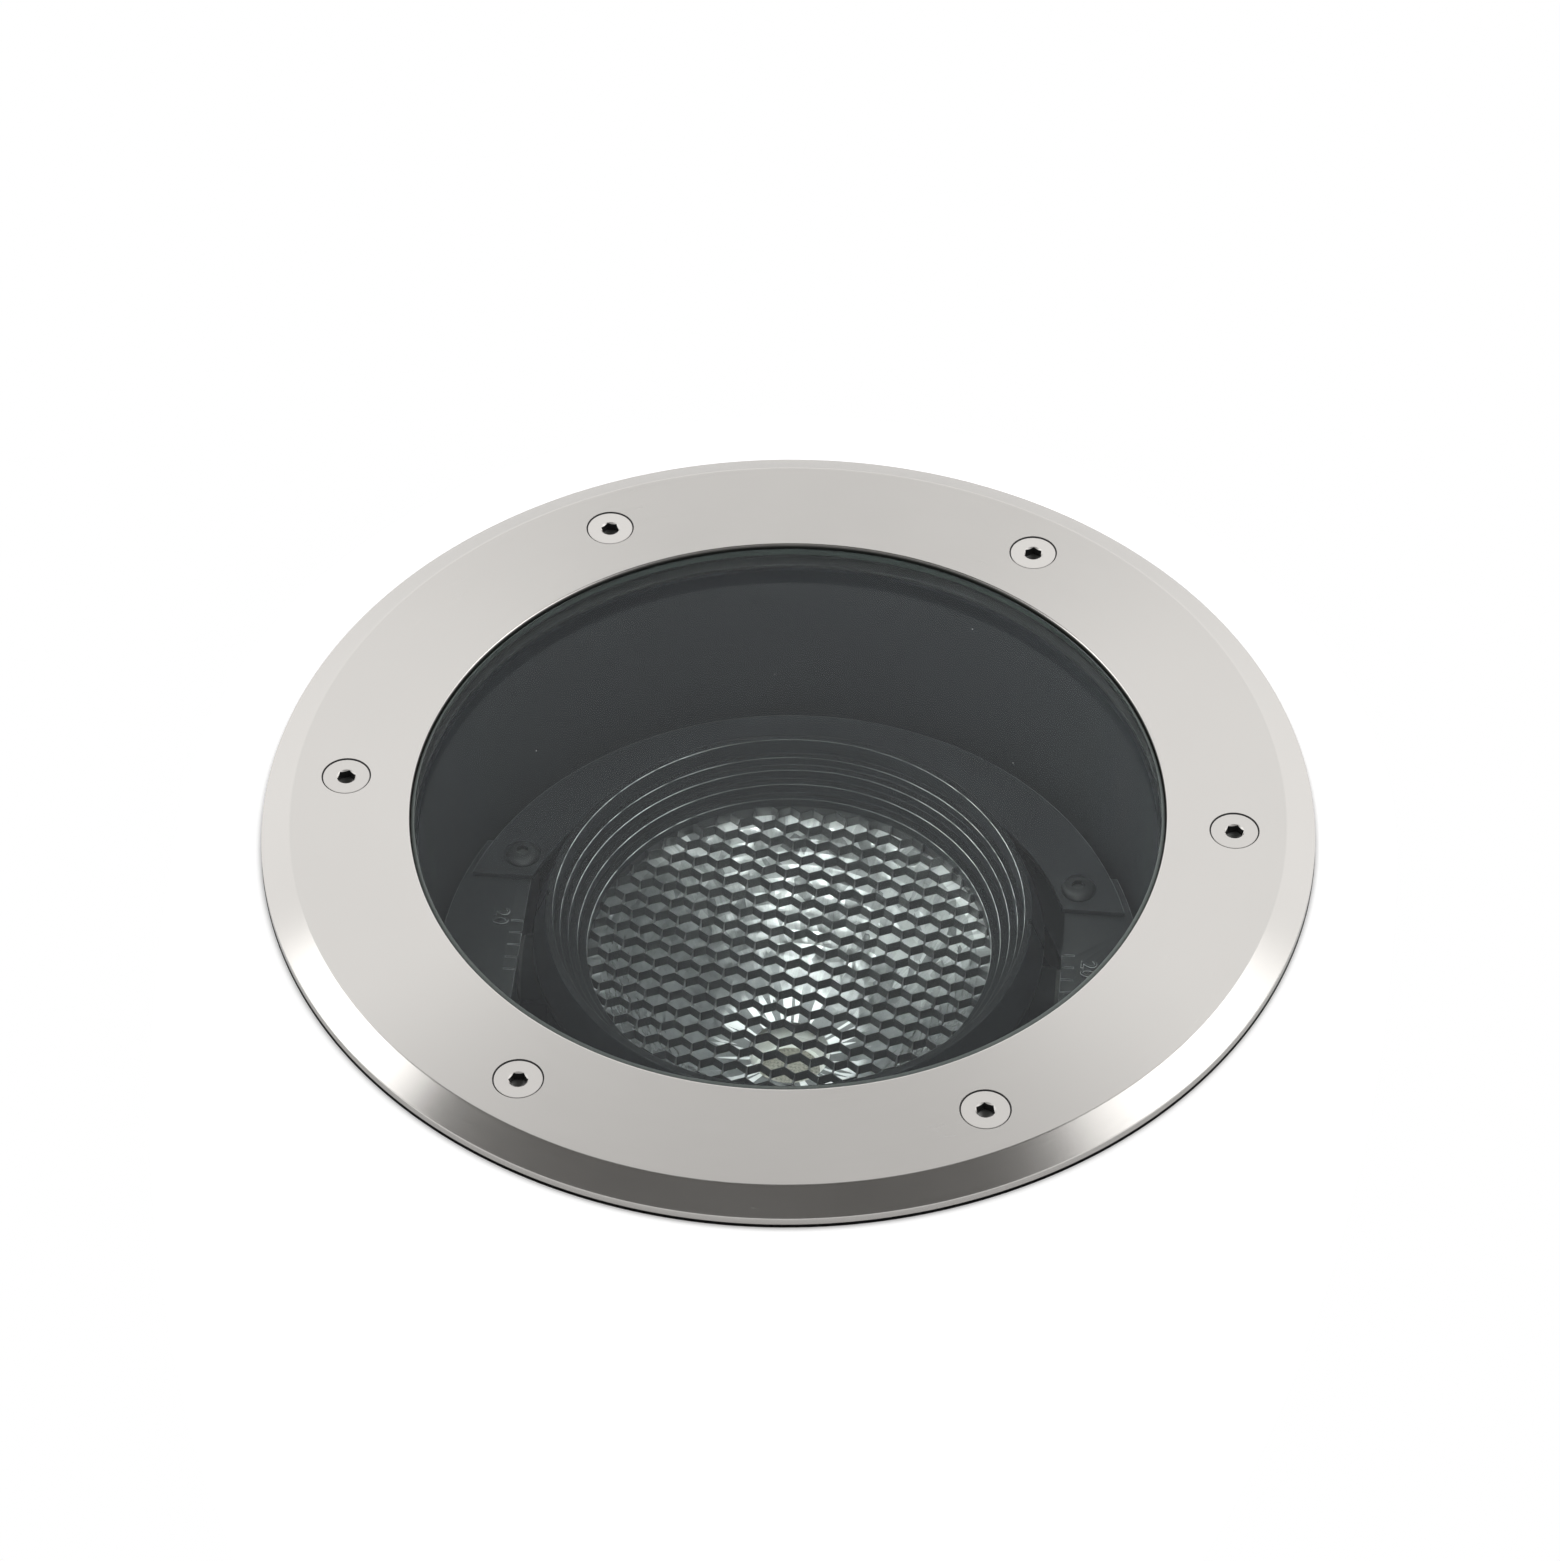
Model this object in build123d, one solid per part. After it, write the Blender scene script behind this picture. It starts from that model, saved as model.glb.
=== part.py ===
from build123d import *
import os
from math import atan, ceil, degrees, radians, sin, sqrt

os.makedirs("parts", exist_ok=True)

# A round uplight that stands flush in a floor, under a walk-over glass.
# Z = 0 is the finished floor, on which the underside of the bezel ring rests. The lamp head inside
# pans about Z and tilts about the pivot axis, which lies along X at rest. All lengths are millimetres.

# Clearances
fit = 0.05                      # between a shaft and its bore, on the radius
seat_gap = 0.05                 # between a piece and the pocket that it lies in
seal_gap = 0.2                  # between the glass edge and the gasket's upper lip
overrun = 2.0                   # how far a cut runs past the face that it opens

# Bezel ring, turned stainless steel with a sloped outer edge
bezel_overhang = 12.0           # how far its rim reaches past the flange that it covers
bezel_thickness = 6.0
bezel_slope_width = 7.2
bezel_slope_drop = 3.6
bezel_edge_break = 0.4
aperture_radius = 93.2
seat_groove_width = 1.8         # drip groove between the flange and the rim that rests on the floor
seat_groove_offset = 1.5        # how far it starts outside the flange's edge
seat_groove_depth = 0.6
bezel_screw_inset = 11.5        # from the glass's flange out to the circle of the six cover screws
bezel_screw_count = 6

# Cover screws, M6 countersunk with a hexagon socket
bezel_screw_radius = 3.0
bezel_screw_head_radius = 5.85
bezel_screw_sink = 0.3          # the heads lie this much below the bezel's top
bezel_screw_length = 22.0
bezel_screw_hole_radius = 3.3
bezel_socket_flats = 4.0
bezel_socket_depth = 2.2

# Toughened glass with a stepped edge
glass_radius = 92.6
glass_flange_radius = 98.5
glass_thickness = 11.5
glass_flange_thickness = 5.0
glass_drop = 0.5                # the glass lies this much below the bezel's top
glass_arris = 1.0
glass_flange_arris = 0.6

# The cover screws stand outside the glass, the flange reaches round them, and the bezel past the flange
bezel_screw_circle = glass_flange_radius + bezel_screw_inset

# Silicone gasket, a channel that wraps the flange of the glass
gasket_web = 1.5
gasket_lower_lip = 1.0

# Housing, a die-cast pot
flange_land = 8.0               # from the circle of the cover screws out to the flange's edge
flange_thickness = 11.0
flange_edge_break = 1.0
flange_radius = bezel_screw_circle + flange_land
bezel_radius = flange_radius + bezel_overhang
chamber_radius = 91.6
chamber_wall = 4.4
shoulder_thickness = 5.0
shoulder_radius = 80.0          # bore in which the yoke turns
lower_radius = 84.0
lower_wall = 4.0
lower_taper = 1.6               # draft on the radius of the lower pot
housing_depth = 194.0
floor_thickness = 6.0
floor_cove = 5.0
boss_radius = 7.4
boss_taper = 0.8
boss_depth = 25.0
boss_bore_bottom = 2.0
gusset_thickness = 5.0
gusset_depth = 58.0
rib_count = 12
rib_thickness = 4.0
rib_height = 7.0
rib_foot_height = 2.5

# Pan bearing: glide ring, yoke ring, spring ring under the shoulder, and the stop pin
glide_thickness = 1.0
glide_width = 3.6
glide_inset = 0.4
yoke_radius = 90.0
yoke_bore = 72.0
yoke_thickness = 5.0
skirt_depth = 11.0
skirt_wall = 6.0
spring_ring_thickness = 1.7
spring_ring_seat = 2.0          # depth of its groove in the skirt
spring_ring_width = 4.6
spring_ring_drop = 0.3          # running gap under the shoulder
spring_ring_mouth = 14.0
pan_range = 175.0               # degrees each way
stop_pin_radius = 1.25
stop_pin_circle = 86.5
stop_pin_rise = 1.7
stop_pin_sink = 3.6
stop_groove_depth = 2.5
stop_groove_play = 0.35

# Yoke ears, which carry the tilt pivots
pivot_depth = 66.0
ear_face = 69.0                 # distance of each ear's inner face from the pan axis
ear_crown = 8.7                 # height of the ear over the pivot axis
ear_foot = 8.0                  # depth of the yoke ring's top under the pivot axis
ear_back = 36.0                 # reach of an ear toward +Y
ear_front = 26.0                # reach of an ear toward -Y
ear_web = 9.0
ear_setback = 0.6               # the ears' outer faces stand inside the ring's edge
scale_step = 10.0               # degrees of tilt between two lines of the scale on each ear
scale_line_width = 0.5
scale_line_depth = 0.4
scale_line_length = 3.2

# Cover plate over the wiring channel at the back of the yoke
plate_inner_radius = 72.2
plate_outer_radius = 87.3
plate_thickness = 1.5
plate_lip_depth = 9.0
plate_end = 23.0                # Y of the straight ends
plate_screw_x = 72.0
plate_screw_y = 30.3
plate_screw_radius = 2.0
plate_screw_head_radius = 4.5
plate_socket_flats = 3.0
plate_socket_depth = 1.2
plate_screw_head_height = 1.6
plate_screw_length = 9.0
plate_hole_radius = 2.2

# Pivot screws with a shoulder, and friction washers
pivot_shoulder_radius = 4.0
pivot_thread_radius = 3.0
pivot_thread_length = 7.5
pivot_head_radius = 6.4
pivot_head_height = 4.0
pivot_head_play = 0.1
pivot_counterbore_play = 0.4
pivot_socket_flats = 5.0
pivot_socket_depth = 2.4
washer_thickness = 1.0
washer_radius = 8.4
tilt_range = 20.0               # degrees each way

# Lamp head: baffle ring with a stepped inside
lip_depth = 36.9                # the lip's depth under the floor
lip_inner_radius = 58.8
lip_outer_radius = 61.3
rim_radius = 64.6
rim_slope_drop = 9.2
rim_edge = 1.9
step_radii = (58.0, 55.6, 53.4, 51.2)
step_drops = (4.9, 7.5, 10.5, 13.6)
baffle_spigot_depth = 24.4      # the ring's lower end under its lip
baffle_ledge_drop = 16.5        # the louver's top under the lip
baffle_bore = 52.6
tick_width = 1.0
tick_depth = 0.8

# Honeycomb louver
louver_radius = 52.4
louver_cell_clip = 51.6
louver_depth = 3.5
louver_pitch = 6.02
louver_wall = 0.5
louver_turn = -5.5              # degrees between a row of cells and the pivot axis
louver_least_cell_share = 0.35  # smallest part of a cell that is still cut at the rim

# Reflector, pressed from bright sheet in flat facets
reflector_wall = 0.8
reflector_mouth_radius = 49.0
reflector_throat_radius = 11.6
reflector_flange_radius = 52.3
reflector_facets = 24
reflector_bands = 6
reflector_curve_share = 0.52

# Spring ring that holds the louver and the reflector in the baffle ring
snap_thickness = 1.2
snap_inner_radius = 50.6
snap_groove_depth = 0.9
snap_mouth = 9.0

# Head shell
shell_radius = 62.0
shell_bore = 58.0
shell_foot_depth = 101.0        # the shell's lower face under the floor
pivot_boss_radius = 9.0
sink_boss_radius = 5.0
sink_boss_height = 13.0
sink_boss_circle = 52.4
sink_screw_count = 4

# Lamp: board, chip field, pad, holder
board_size = 24.0
board_thickness = 1.2
chip_radius = 8.6
chip_height = 0.5
pad_thickness = 0.5
holder_radius = 22.0
holder_top_radius = 20.5
holder_height = 4.0
holder_mouth_radius = 10.2
holder_bore_radius = 9.2
holder_screw_circle = 18.2
holder_screw_radius = 1.5
holder_screw_head_radius = 2.7
holder_screw_head_height = 1.6
holder_screw_length = 8.0
holder_socket_flats = 2.0
holder_socket_depth = 1.0
holder_screw_count = 2

# Heat sink
sink_plate_thickness = 6.0
sink_core_radius = 16.0
sink_fin_count = 32
sink_fin_thickness = 2.2
sink_fin_radius = 46.5
sink_fin_depth = 35.0
sink_fin_cut = 8.0              # how far the fins are cut back at their lower corner
sink_screw_radius = 2.0
sink_screw_head_radius = 3.5
sink_screw_head_height = 3.0
sink_screw_length = 16.0
sink_socket_flats = 3.0
sink_socket_depth = 2.0
sink_hole_radius = 2.25

# Cable gland, M20
gland_height = 22.0             # the gland's axis over the housing's foot
gland_thread_radius = 10.0
gland_bore = 4.5
gland_inner_bore = 6.8
gland_face = 90.5               # Y of the machined face that it screws against
gland_inner_face = 80.6
gland_pad_radius = 15.5
gland_hex_flats = 24.0
gland_hex_length = 6.0
gland_washer_radius = 12.0
gland_washer_thickness = 1.5
gland_neck_length = 7.0
gland_neck_radius = 9.2
gland_cap_length = 18.0
gland_cap_flats = 22.0
gland_cap_nose_radius = 7.2
gland_cap_hex_length = 9.0
gland_seal_radius = 7.4
gland_seal_length = 12.0
gland_nut_flats = 24.0
gland_nut_thickness = 4.5
gland_thread_end = 2.0

# Driver, its bracket, terminal block and earth screw in the foot of the housing
bracket_length = 124.0
bracket_front = 46.0
bracket_back = 38.0
bracket_corner = 20.0
bracket_thickness = 1.5
bracket_rise = 4.0
bracket_boss_radius = 5.0
bracket_screw_x = 56.0
bracket_screw_y = 12.0
bracket_screw_radius = 2.0
bracket_screw_head_radius = 3.6
bracket_screw_head_height = 2.4
bracket_screw_length = 9.0
bracket_socket_flats = 2.5
bracket_socket_depth = 1.5
bracket_hole_radius = 2.25
bracket_screw_thread_share = 0.75   # the blind holes' depth as a share of boss and floor
driver_length = 96.0
driver_width = 48.0
driver_height = 20.0
driver_back = 2.0               # Y of the driver's back face
driver_corner = 4.0
driver_top_round = 2.0
terminal_length = 36.0
terminal_width = 18.0
terminal_height = 15.0
terminal_gap = 8.0              # between the driver and the terminal block
terminal_step_width = 6.0
terminal_step_drop = 5.0
terminal_poles = 3
terminal_entry_radius = 2.4
terminal_entry_depth = 4.0
terminal_screw_radius = 1.9
terminal_screw_depth = 4.0
terminal_screw_sink = 0.8
earth_x = -52.0
earth_y = 52.0
earth_boss_radius = 5.0
earth_boss_rise = 5.0
earth_screw_radius = 2.0
earth_screw_head_flats = 7.0
earth_screw_head_height = 2.6
earth_screw_length = 9.0
earth_washer_radius = 4.6
earth_washer_thickness = 0.8

# Heights that follow from the sizes above
glass_top = bezel_thickness - glass_drop
glass_bottom = glass_top - glass_thickness
glass_flange_top = glass_bottom + glass_flange_thickness
gasket_bottom = glass_bottom - gasket_lower_lip
gasket_radius = glass_flange_radius + gasket_web
chamber_outer = chamber_radius + chamber_wall
pivot_z = -pivot_depth
ear_top = pivot_z + ear_crown
yoke_top = pivot_z - ear_foot
yoke_bottom = yoke_top - yoke_thickness
shoulder_top = yoke_bottom - glide_thickness
shoulder_bottom = shoulder_top - shoulder_thickness
foot_z = -housing_depth
floor_z = foot_z + floor_thickness
lip_z = -lip_depth
rim_bottom = lip_z - rim_slope_drop - rim_edge
ledge_z = lip_z - baffle_ledge_drop
louver_bottom = ledge_z - louver_depth
reflector_top = louver_bottom
flange_bottom = reflector_top - reflector_wall
snap_bottom = flange_bottom - snap_thickness
baffle_bottom = lip_z - baffle_spigot_depth
shell_foot = -shell_foot_depth
holder_top = shell_foot + holder_height
sink_plate_bottom = shell_foot - sink_plate_thickness
sink_bottom = sink_plate_bottom - sink_fin_depth
bracket_z = floor_z + bracket_rise
bracket_top = bracket_z + bracket_thickness
skirt_radius = shoulder_radius - fit
pivot_bore = pivot_shoulder_radius + fit
pivot_boss_face = ear_face - washer_thickness - fit


def turned(points):
    """A solid turned about Z from an outline of (radius, height) points."""
    return revolve(Plane.XZ * make_face(Polyline(*points, close=True)), Axis.Z)


def rod(radius, low, high, x=0, y=0):
    """A round bar that stands at (x, y) between two heights."""
    return Pos(x, y, (low + high) / 2) * Cylinder(radius, high - low)


def x_rod(radius, start, end, z=0):
    """A round bar along X between two places, at a height."""
    return Pos((start + end) / 2, 0, z) * Rot(0, 90, 0) * Cylinder(radius, abs(end - start))


def y_rod(radius, start, end, z=0):
    """A round bar along Y between two places, at a height."""
    return Pos(0, (start + end) / 2, z) * Rot(90, 0, 0) * Cylinder(radius, abs(end - start))


def hexagon(flats):
    """A hexagon by its width over the flats."""
    return RegularPolygon(flats / sqrt(3), 6)


def hex_rod(flats, low, high, x=0, y=0):
    """A hexagon bar that stands at (x, y) between two heights."""
    return Pos(x, y, low) * extrude(hexagon(flats), high - low)


def around(shape, count, first=0):
    """Copies of a shape at even angles about Z."""
    return [Rot(0, 0, first + 360 * i / count) * shape for i in range(count)]


def fin(points, thickness):
    """A flat web that stands on the XZ plane, from (radius, height) points."""
    return extrude(Plane.XZ * make_face(Polyline(*points, close=True)), thickness / 2, both=True)


def mirrored_x(shape):
    """The shape and its copy half a turn about Z away on the other side of the pan axis."""
    return [shape, mirror(shape, Plane.YZ)]


def save(name, *shapes):
    """Write a node; several separate solids share it as a group."""
    for shape in shapes:
        if not shape.is_valid:
            print("not valid", name)
    body = shapes[0] if len(shapes) == 1 else Compound(children=list(shapes))
    body.label = name
    export_step(body, f"parts/{name}.step")


# Bezel ring
screw_top = bezel_thickness - bezel_screw_sink
screw_cone = bezel_screw_head_radius - bezel_screw_radius
hole_mouth = bezel_screw_head_radius + bezel_screw_sink + seat_gap
hole_cone = hole_mouth - bezel_screw_hole_radius
groove_inner = flange_radius + seat_groove_offset
groove_outer = groove_inner + seat_groove_width
slope_top = bezel_radius - bezel_slope_width
bezel = turned([
    (aperture_radius + bezel_edge_break, 0),
    (groove_inner, 0),
    (groove_inner, seat_groove_depth),
    (groove_outer, seat_groove_depth),
    (groove_outer, 0),
    (bezel_radius - bezel_edge_break, 0),
    (bezel_radius, bezel_edge_break),
    (bezel_radius, bezel_thickness - bezel_slope_drop),
    (slope_top, bezel_thickness),
    (aperture_radius + bezel_edge_break, bezel_thickness),
    (aperture_radius, bezel_thickness - bezel_edge_break),
    (aperture_radius, bezel_edge_break),
])
bezel_hole = turned([
    (0, -overrun),
    (bezel_screw_hole_radius, -overrun),
    (bezel_screw_hole_radius, bezel_thickness - hole_cone),
    (hole_mouth, bezel_thickness),
    (hole_mouth, bezel_thickness + overrun),
    (0, bezel_thickness + overrun),
])
bezel -= around(Pos(bezel_screw_circle, 0, 0) * bezel_hole, bezel_screw_count)
save("bezel_ring", bezel)

# Cover screws
bezel_screw = turned([
    (0, screw_top - bezel_screw_length),
    (bezel_screw_radius, screw_top - bezel_screw_length),
    (bezel_screw_radius, screw_top - screw_cone),
    (bezel_screw_head_radius, screw_top),
    (0, screw_top),
])
bezel_screw -= hex_rod(bezel_socket_flats, screw_top - bezel_socket_depth, screw_top + overrun)
save("bezel_screws", *around(Pos(bezel_screw_circle, 0, 0) * bezel_screw, bezel_screw_count))

# Glass
glass = turned([
    (0, glass_bottom),
    (glass_flange_radius - glass_flange_arris, glass_bottom),
    (glass_flange_radius, glass_bottom + glass_flange_arris),
    (glass_flange_radius, glass_flange_top),
    (glass_radius, glass_flange_top),
    (glass_radius, glass_top - glass_arris),
    (glass_radius - glass_arris, glass_top),
    (0, glass_top),
])
save("glass_lens", glass)

# Gasket: upper lip under the bezel, web round the flange, lower lip on the housing's seat
gasket_lower_radius = chamber_radius + gasket_lower_lip
gasket = turned([
    (gasket_lower_radius, gasket_bottom),
    (gasket_radius, gasket_bottom),
    (gasket_radius, 0),
    (glass_radius + seal_gap, 0),
    (glass_radius + seal_gap, glass_flange_top),
    (glass_flange_radius + seat_gap, glass_flange_top),
    (glass_flange_radius + seat_gap, glass_bottom),
    (gasket_lower_radius, glass_bottom),
])
save("glass_gasket", gasket)

# Housing: flange, chamber, bearing shoulder, lower pot
lower_foot_radius = lower_radius - lower_taper
lower_outer = lower_radius + lower_wall
lower_foot_outer = lower_outer - lower_taper
housing = turned([
    (0, foot_z),
    (lower_foot_outer, foot_z),
    (lower_outer, shoulder_bottom - lower_wall),
    (chamber_outer, shoulder_bottom + lower_wall),
    (chamber_outer, -flange_thickness),
    (flange_radius - flange_edge_break, -flange_thickness),
    (flange_radius, flange_edge_break - flange_thickness),
    (flange_radius, 0),
    (gasket_radius + seat_gap, 0),
    (gasket_radius + seat_gap, gasket_bottom),
    (chamber_radius, gasket_bottom),
    (chamber_radius, shoulder_top),
    (shoulder_radius, shoulder_top),
    (shoulder_radius, shoulder_bottom),
    (lower_radius, shoulder_bottom),
    (lower_foot_radius, floor_z + floor_cove),
    (lower_foot_radius - floor_cove, floor_z),
    (0, floor_z),
])
wall_middle = chamber_radius + chamber_wall / 2
boss = Pos(bezel_screw_circle, 0, -boss_depth) * Cone(
    boss_radius - boss_taper, boss_radius, boss_depth - flange_thickness,
    align=(Align.CENTER, Align.CENTER, Align.MIN))
gusset = fin([
    (wall_middle, -flange_thickness),
    (bezel_screw_circle, -flange_thickness),
    (bezel_screw_circle, -boss_depth),
    (chamber_outer, -gusset_depth),
    (wall_middle, -gusset_depth),
], gusset_thickness)
rib_top = shoulder_bottom - lower_wall
rib = fin([
    (lower_radius + lower_wall / 2, rib_top + lower_wall),
    (lower_outer + rib_height, rib_top + lower_wall),
    (lower_outer + rib_height, rib_top),
    (lower_foot_outer + rib_foot_height, foot_z),
    (lower_foot_radius + lower_wall / 2, foot_z),
], rib_thickness)
housing += around(boss, bezel_screw_count) + around(gusset, bezel_screw_count)
housing += around(rib, rib_count, 180 / rib_count)
gland_z = foot_z + gland_height
housing += y_rod(gland_pad_radius, gland_inner_face, gland_face, gland_z)
housing += [rod(bracket_boss_radius, floor_z, bracket_z, side * bracket_screw_x, -bracket_screw_y)
            for side in (-1, 1)]
earth_seat = floor_z + earth_boss_rise
housing += rod(earth_boss_radius, floor_z, earth_seat, earth_x, earth_y)
screw_bore = Pos(bezel_screw_circle, 0, 0) * rod(
    bezel_screw_radius + fit, boss_bore_bottom - boss_depth, overrun)
housing -= around(screw_bore, bezel_screw_count)
housing -= y_rod(gland_thread_radius + fit, gland_inner_face - overrun, gland_face + overrun, gland_z)
thread_depth = (bracket_rise + floor_thickness) * bracket_screw_thread_share
housing -= [rod(bracket_screw_radius + fit, bracket_z - thread_depth, bracket_z + overrun,
                side * bracket_screw_x, -bracket_screw_y) for side in (-1, 1)]
housing -= rod(earth_screw_radius + fit, earth_seat - earth_screw_length, earth_seat + overrun,
               earth_x, earth_y)
pin_low = shoulder_top - stop_pin_sink
housing -= rod(stop_pin_radius + fit, pin_low, shoulder_top + overrun, 0, -stop_pin_circle)
save("housing", housing)

# Pan bearing
glide_inner = shoulder_radius + glide_inset
glide = turned([
    (glide_inner, shoulder_top),
    (glide_inner + glide_width, shoulder_top),
    (glide_inner + glide_width, yoke_bottom),
    (glide_inner, yoke_bottom),
])
save("glide_ring", glide)
save("pan_stop_pin", rod(stop_pin_radius, pin_low, yoke_bottom + stop_pin_rise, 0, -stop_pin_circle))

# Yoke: ring, skirt in the bearing, and two ears
skirt_inner = skirt_radius - skirt_wall
ring_seat_top = shoulder_bottom - spring_ring_drop
ring_seat_bottom = ring_seat_top - spring_ring_thickness
groove_floor = skirt_radius - spring_ring_seat
yoke = turned([
    (yoke_bore, yoke_bottom),
    (skirt_inner, yoke_bottom - (skirt_inner - yoke_bore)),
    (skirt_inner, yoke_bottom - skirt_depth),
    (skirt_radius, yoke_bottom - skirt_depth),
    (skirt_radius, ring_seat_bottom - seat_gap),
    (groove_floor, ring_seat_bottom - seat_gap),
    (groove_floor, ring_seat_top + seat_gap),
    (skirt_radius, ring_seat_top + seat_gap),
    (skirt_radius, yoke_bottom),
    (yoke_radius, yoke_bottom),
    (yoke_radius, yoke_top),
    (yoke_bore, yoke_top),
])
# The stop pin runs in a groove that a web closes at the back of the ring.
groove_half = stop_pin_radius + stop_groove_play
groove_top = yoke_bottom + stop_groove_depth
stop_web_half = stop_pin_circle * sin(radians(180 - pan_range)) - groove_half
stop_groove = rod(stop_pin_circle + groove_half, yoke_bottom - overrun, groove_top)
stop_groove -= rod(stop_pin_circle - groove_half, yoke_bottom - 2 * overrun, groove_top + overrun)
stop_groove -= Pos(0, stop_pin_circle, yoke_bottom) * Box(
    2 * stop_web_half, 4 * groove_half, 2 * (stop_groove_depth + overrun))
yoke -= stop_groove
ear_radius = yoke_radius - ear_setback
ear_plan = Circle(ear_radius) & Pos((ear_face + yoke_radius) / 2, (ear_back - ear_front) / 2) * Rectangle(
    yoke_radius - ear_face, ear_back + ear_front)
ear = Pos(0, 0, yoke_top) * extrude(ear_plan, ear_top - yoke_top)
yoke += mirrored_x(ear)
shoulder_end = ear_face + ear_web
counterbore = pivot_head_radius + pivot_counterbore_play
pivot_cut = x_rod(pivot_bore, ear_face - overrun, shoulder_end + overrun, pivot_z)
pivot_cut += x_rod(counterbore, shoulder_end, yoke_radius + overrun, pivot_z)
plate_bore = rod(plate_screw_radius + fit, ear_top - plate_screw_length, ear_top + overrun,
                 plate_screw_x, plate_screw_y)
yoke -= mirrored_x(pivot_cut) + mirrored_x(plate_bore)
# Scale lines on the ears stand where the tick on the head's rim comes to, from end to end of the tilt.
tick_height = lip_z - rim_slope_drop / 2 - pivot_z
for line in range(int(2 * tilt_range / scale_step) + 1):
    line_y = tick_height * sin(radians(line * scale_step - tilt_range))
    yoke -= mirrored_x(Pos(ear_face, line_y, ear_top) * Box(
        2 * scale_line_length, scale_line_width, 2 * scale_line_depth))
save("yoke_ring", yoke)

# Spring ring under the shoulder, open at the front
spring_ring = turned([
    (groove_floor + seat_gap, ring_seat_bottom),
    (groove_floor + spring_ring_width, ring_seat_bottom),
    (groove_floor + spring_ring_width, ring_seat_top),
    (groove_floor + seat_gap, ring_seat_top),
])
spring_ring -= Pos(0, -shoulder_radius, ring_seat_top) * Box(
    spring_ring_mouth, 2 * spring_ring_width + overrun, 2 * spring_ring_thickness + overrun)
save("yoke_spring_ring", spring_ring)

# Cover plate: a sheet arc with a turned-down outer edge, which bears on the ears
plate_top = ear_top + plate_thickness
lip_cut = ear_back + seat_gap
plate = turned([
    (plate_inner_radius, ear_top),
    (plate_outer_radius, ear_top),
    (plate_outer_radius, plate_top),
    (plate_inner_radius, plate_top),
])
plate_lip = turned([
    (plate_outer_radius - plate_thickness, ear_top - plate_lip_depth),
    (plate_outer_radius, ear_top - plate_lip_depth),
    (plate_outer_radius, ear_top),
    (plate_outer_radius - plate_thickness, ear_top),
])
front_cut = Pos(0, -yoke_radius, 0) * Box(
    2 * yoke_radius + overrun, 2 * (yoke_radius + plate_end), 2 * pivot_depth + overrun)
front_lip_cut = Pos(0, -yoke_radius, 0) * Box(
    2 * yoke_radius + overrun, 2 * (yoke_radius + lip_cut), 2 * pivot_depth + overrun)
plate = (plate - front_cut) + (plate_lip - front_lip_cut)
plate -= mirrored_x(rod(plate_hole_radius, ear_top - overrun, plate_top + overrun,
                        plate_screw_x, plate_screw_y))
save("yoke_cover_plate", plate)
plate_screw = rod(plate_screw_radius, plate_top - plate_screw_length, plate_top,
                  plate_screw_x, plate_screw_y)
plate_screw += rod(plate_screw_head_radius, plate_top, plate_top + plate_screw_head_height,
                   plate_screw_x, plate_screw_y)
plate_head_top = plate_top + plate_screw_head_height
plate_screw -= hex_rod(plate_socket_flats, plate_head_top - plate_socket_depth, plate_head_top + overrun,
                       plate_screw_x, plate_screw_y)
save("cover_plate_screws", *mirrored_x(plate_screw))

# Pivot screws and friction washers, which turn with the head
head_start = shoulder_end + pivot_head_play
pivot_screw = x_rod(pivot_thread_radius, pivot_boss_face - pivot_thread_length, pivot_boss_face, pivot_z)
pivot_screw += x_rod(pivot_shoulder_radius, pivot_boss_face, head_start, pivot_z)
pivot_screw += x_rod(pivot_head_radius, head_start, head_start + pivot_head_height, pivot_z)
socket = extrude(Plane.YZ * hexagon(pivot_socket_flats), pivot_socket_depth + overrun)
pivot_screw -= Pos(head_start + pivot_head_height - pivot_socket_depth, 0, pivot_z) * socket
save("pivot_screws", *mirrored_x(pivot_screw))
washer = x_rod(washer_radius, pivot_boss_face, pivot_boss_face + washer_thickness, pivot_z)
washer -= x_rod(pivot_bore, pivot_boss_face - overrun, ear_face + overrun, pivot_z)
save("friction_washers", *mirrored_x(washer))

# Baffle ring: sloped rim outside, steps inside, spigot in the head shell
spigot_radius = shell_bore - seat_gap
snap_groove_radius = baffle_bore + snap_groove_depth
baffle_outline = [
    (lip_inner_radius, lip_z),
    (lip_outer_radius, lip_z),
    (rim_radius, lip_z - rim_slope_drop),
    (rim_radius, rim_bottom),
    (spigot_radius, rim_bottom),
    (spigot_radius, baffle_bottom),
    (baffle_bore, baffle_bottom),
    (baffle_bore, snap_bottom),
    (snap_groove_radius, snap_bottom),
    (snap_groove_radius, flange_bottom),
    (baffle_bore, flange_bottom),
    (baffle_bore, ledge_z),
    (step_radii[-1], ledge_z),
]
# Each step is a riser under a tread, from the louver's ledge up to the lip.
for radius, drop, wider in reversed(list(zip(step_radii, step_drops, (lip_inner_radius,) + step_radii))):
    baffle_outline += [(radius, lip_z - drop), (wider, lip_z - drop)]
baffle = turned(baffle_outline)
slope = degrees(atan((rim_radius - lip_outer_radius) / rim_slope_drop))
tick = Pos(lip_outer_radius, 0, lip_z) * Rot(0, -slope, 0) * Box(
    2 * tick_depth, tick_width, 2 * rim_slope_drop)
baffle -= mirrored_x(tick)
save("baffle_ring", baffle)

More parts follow.
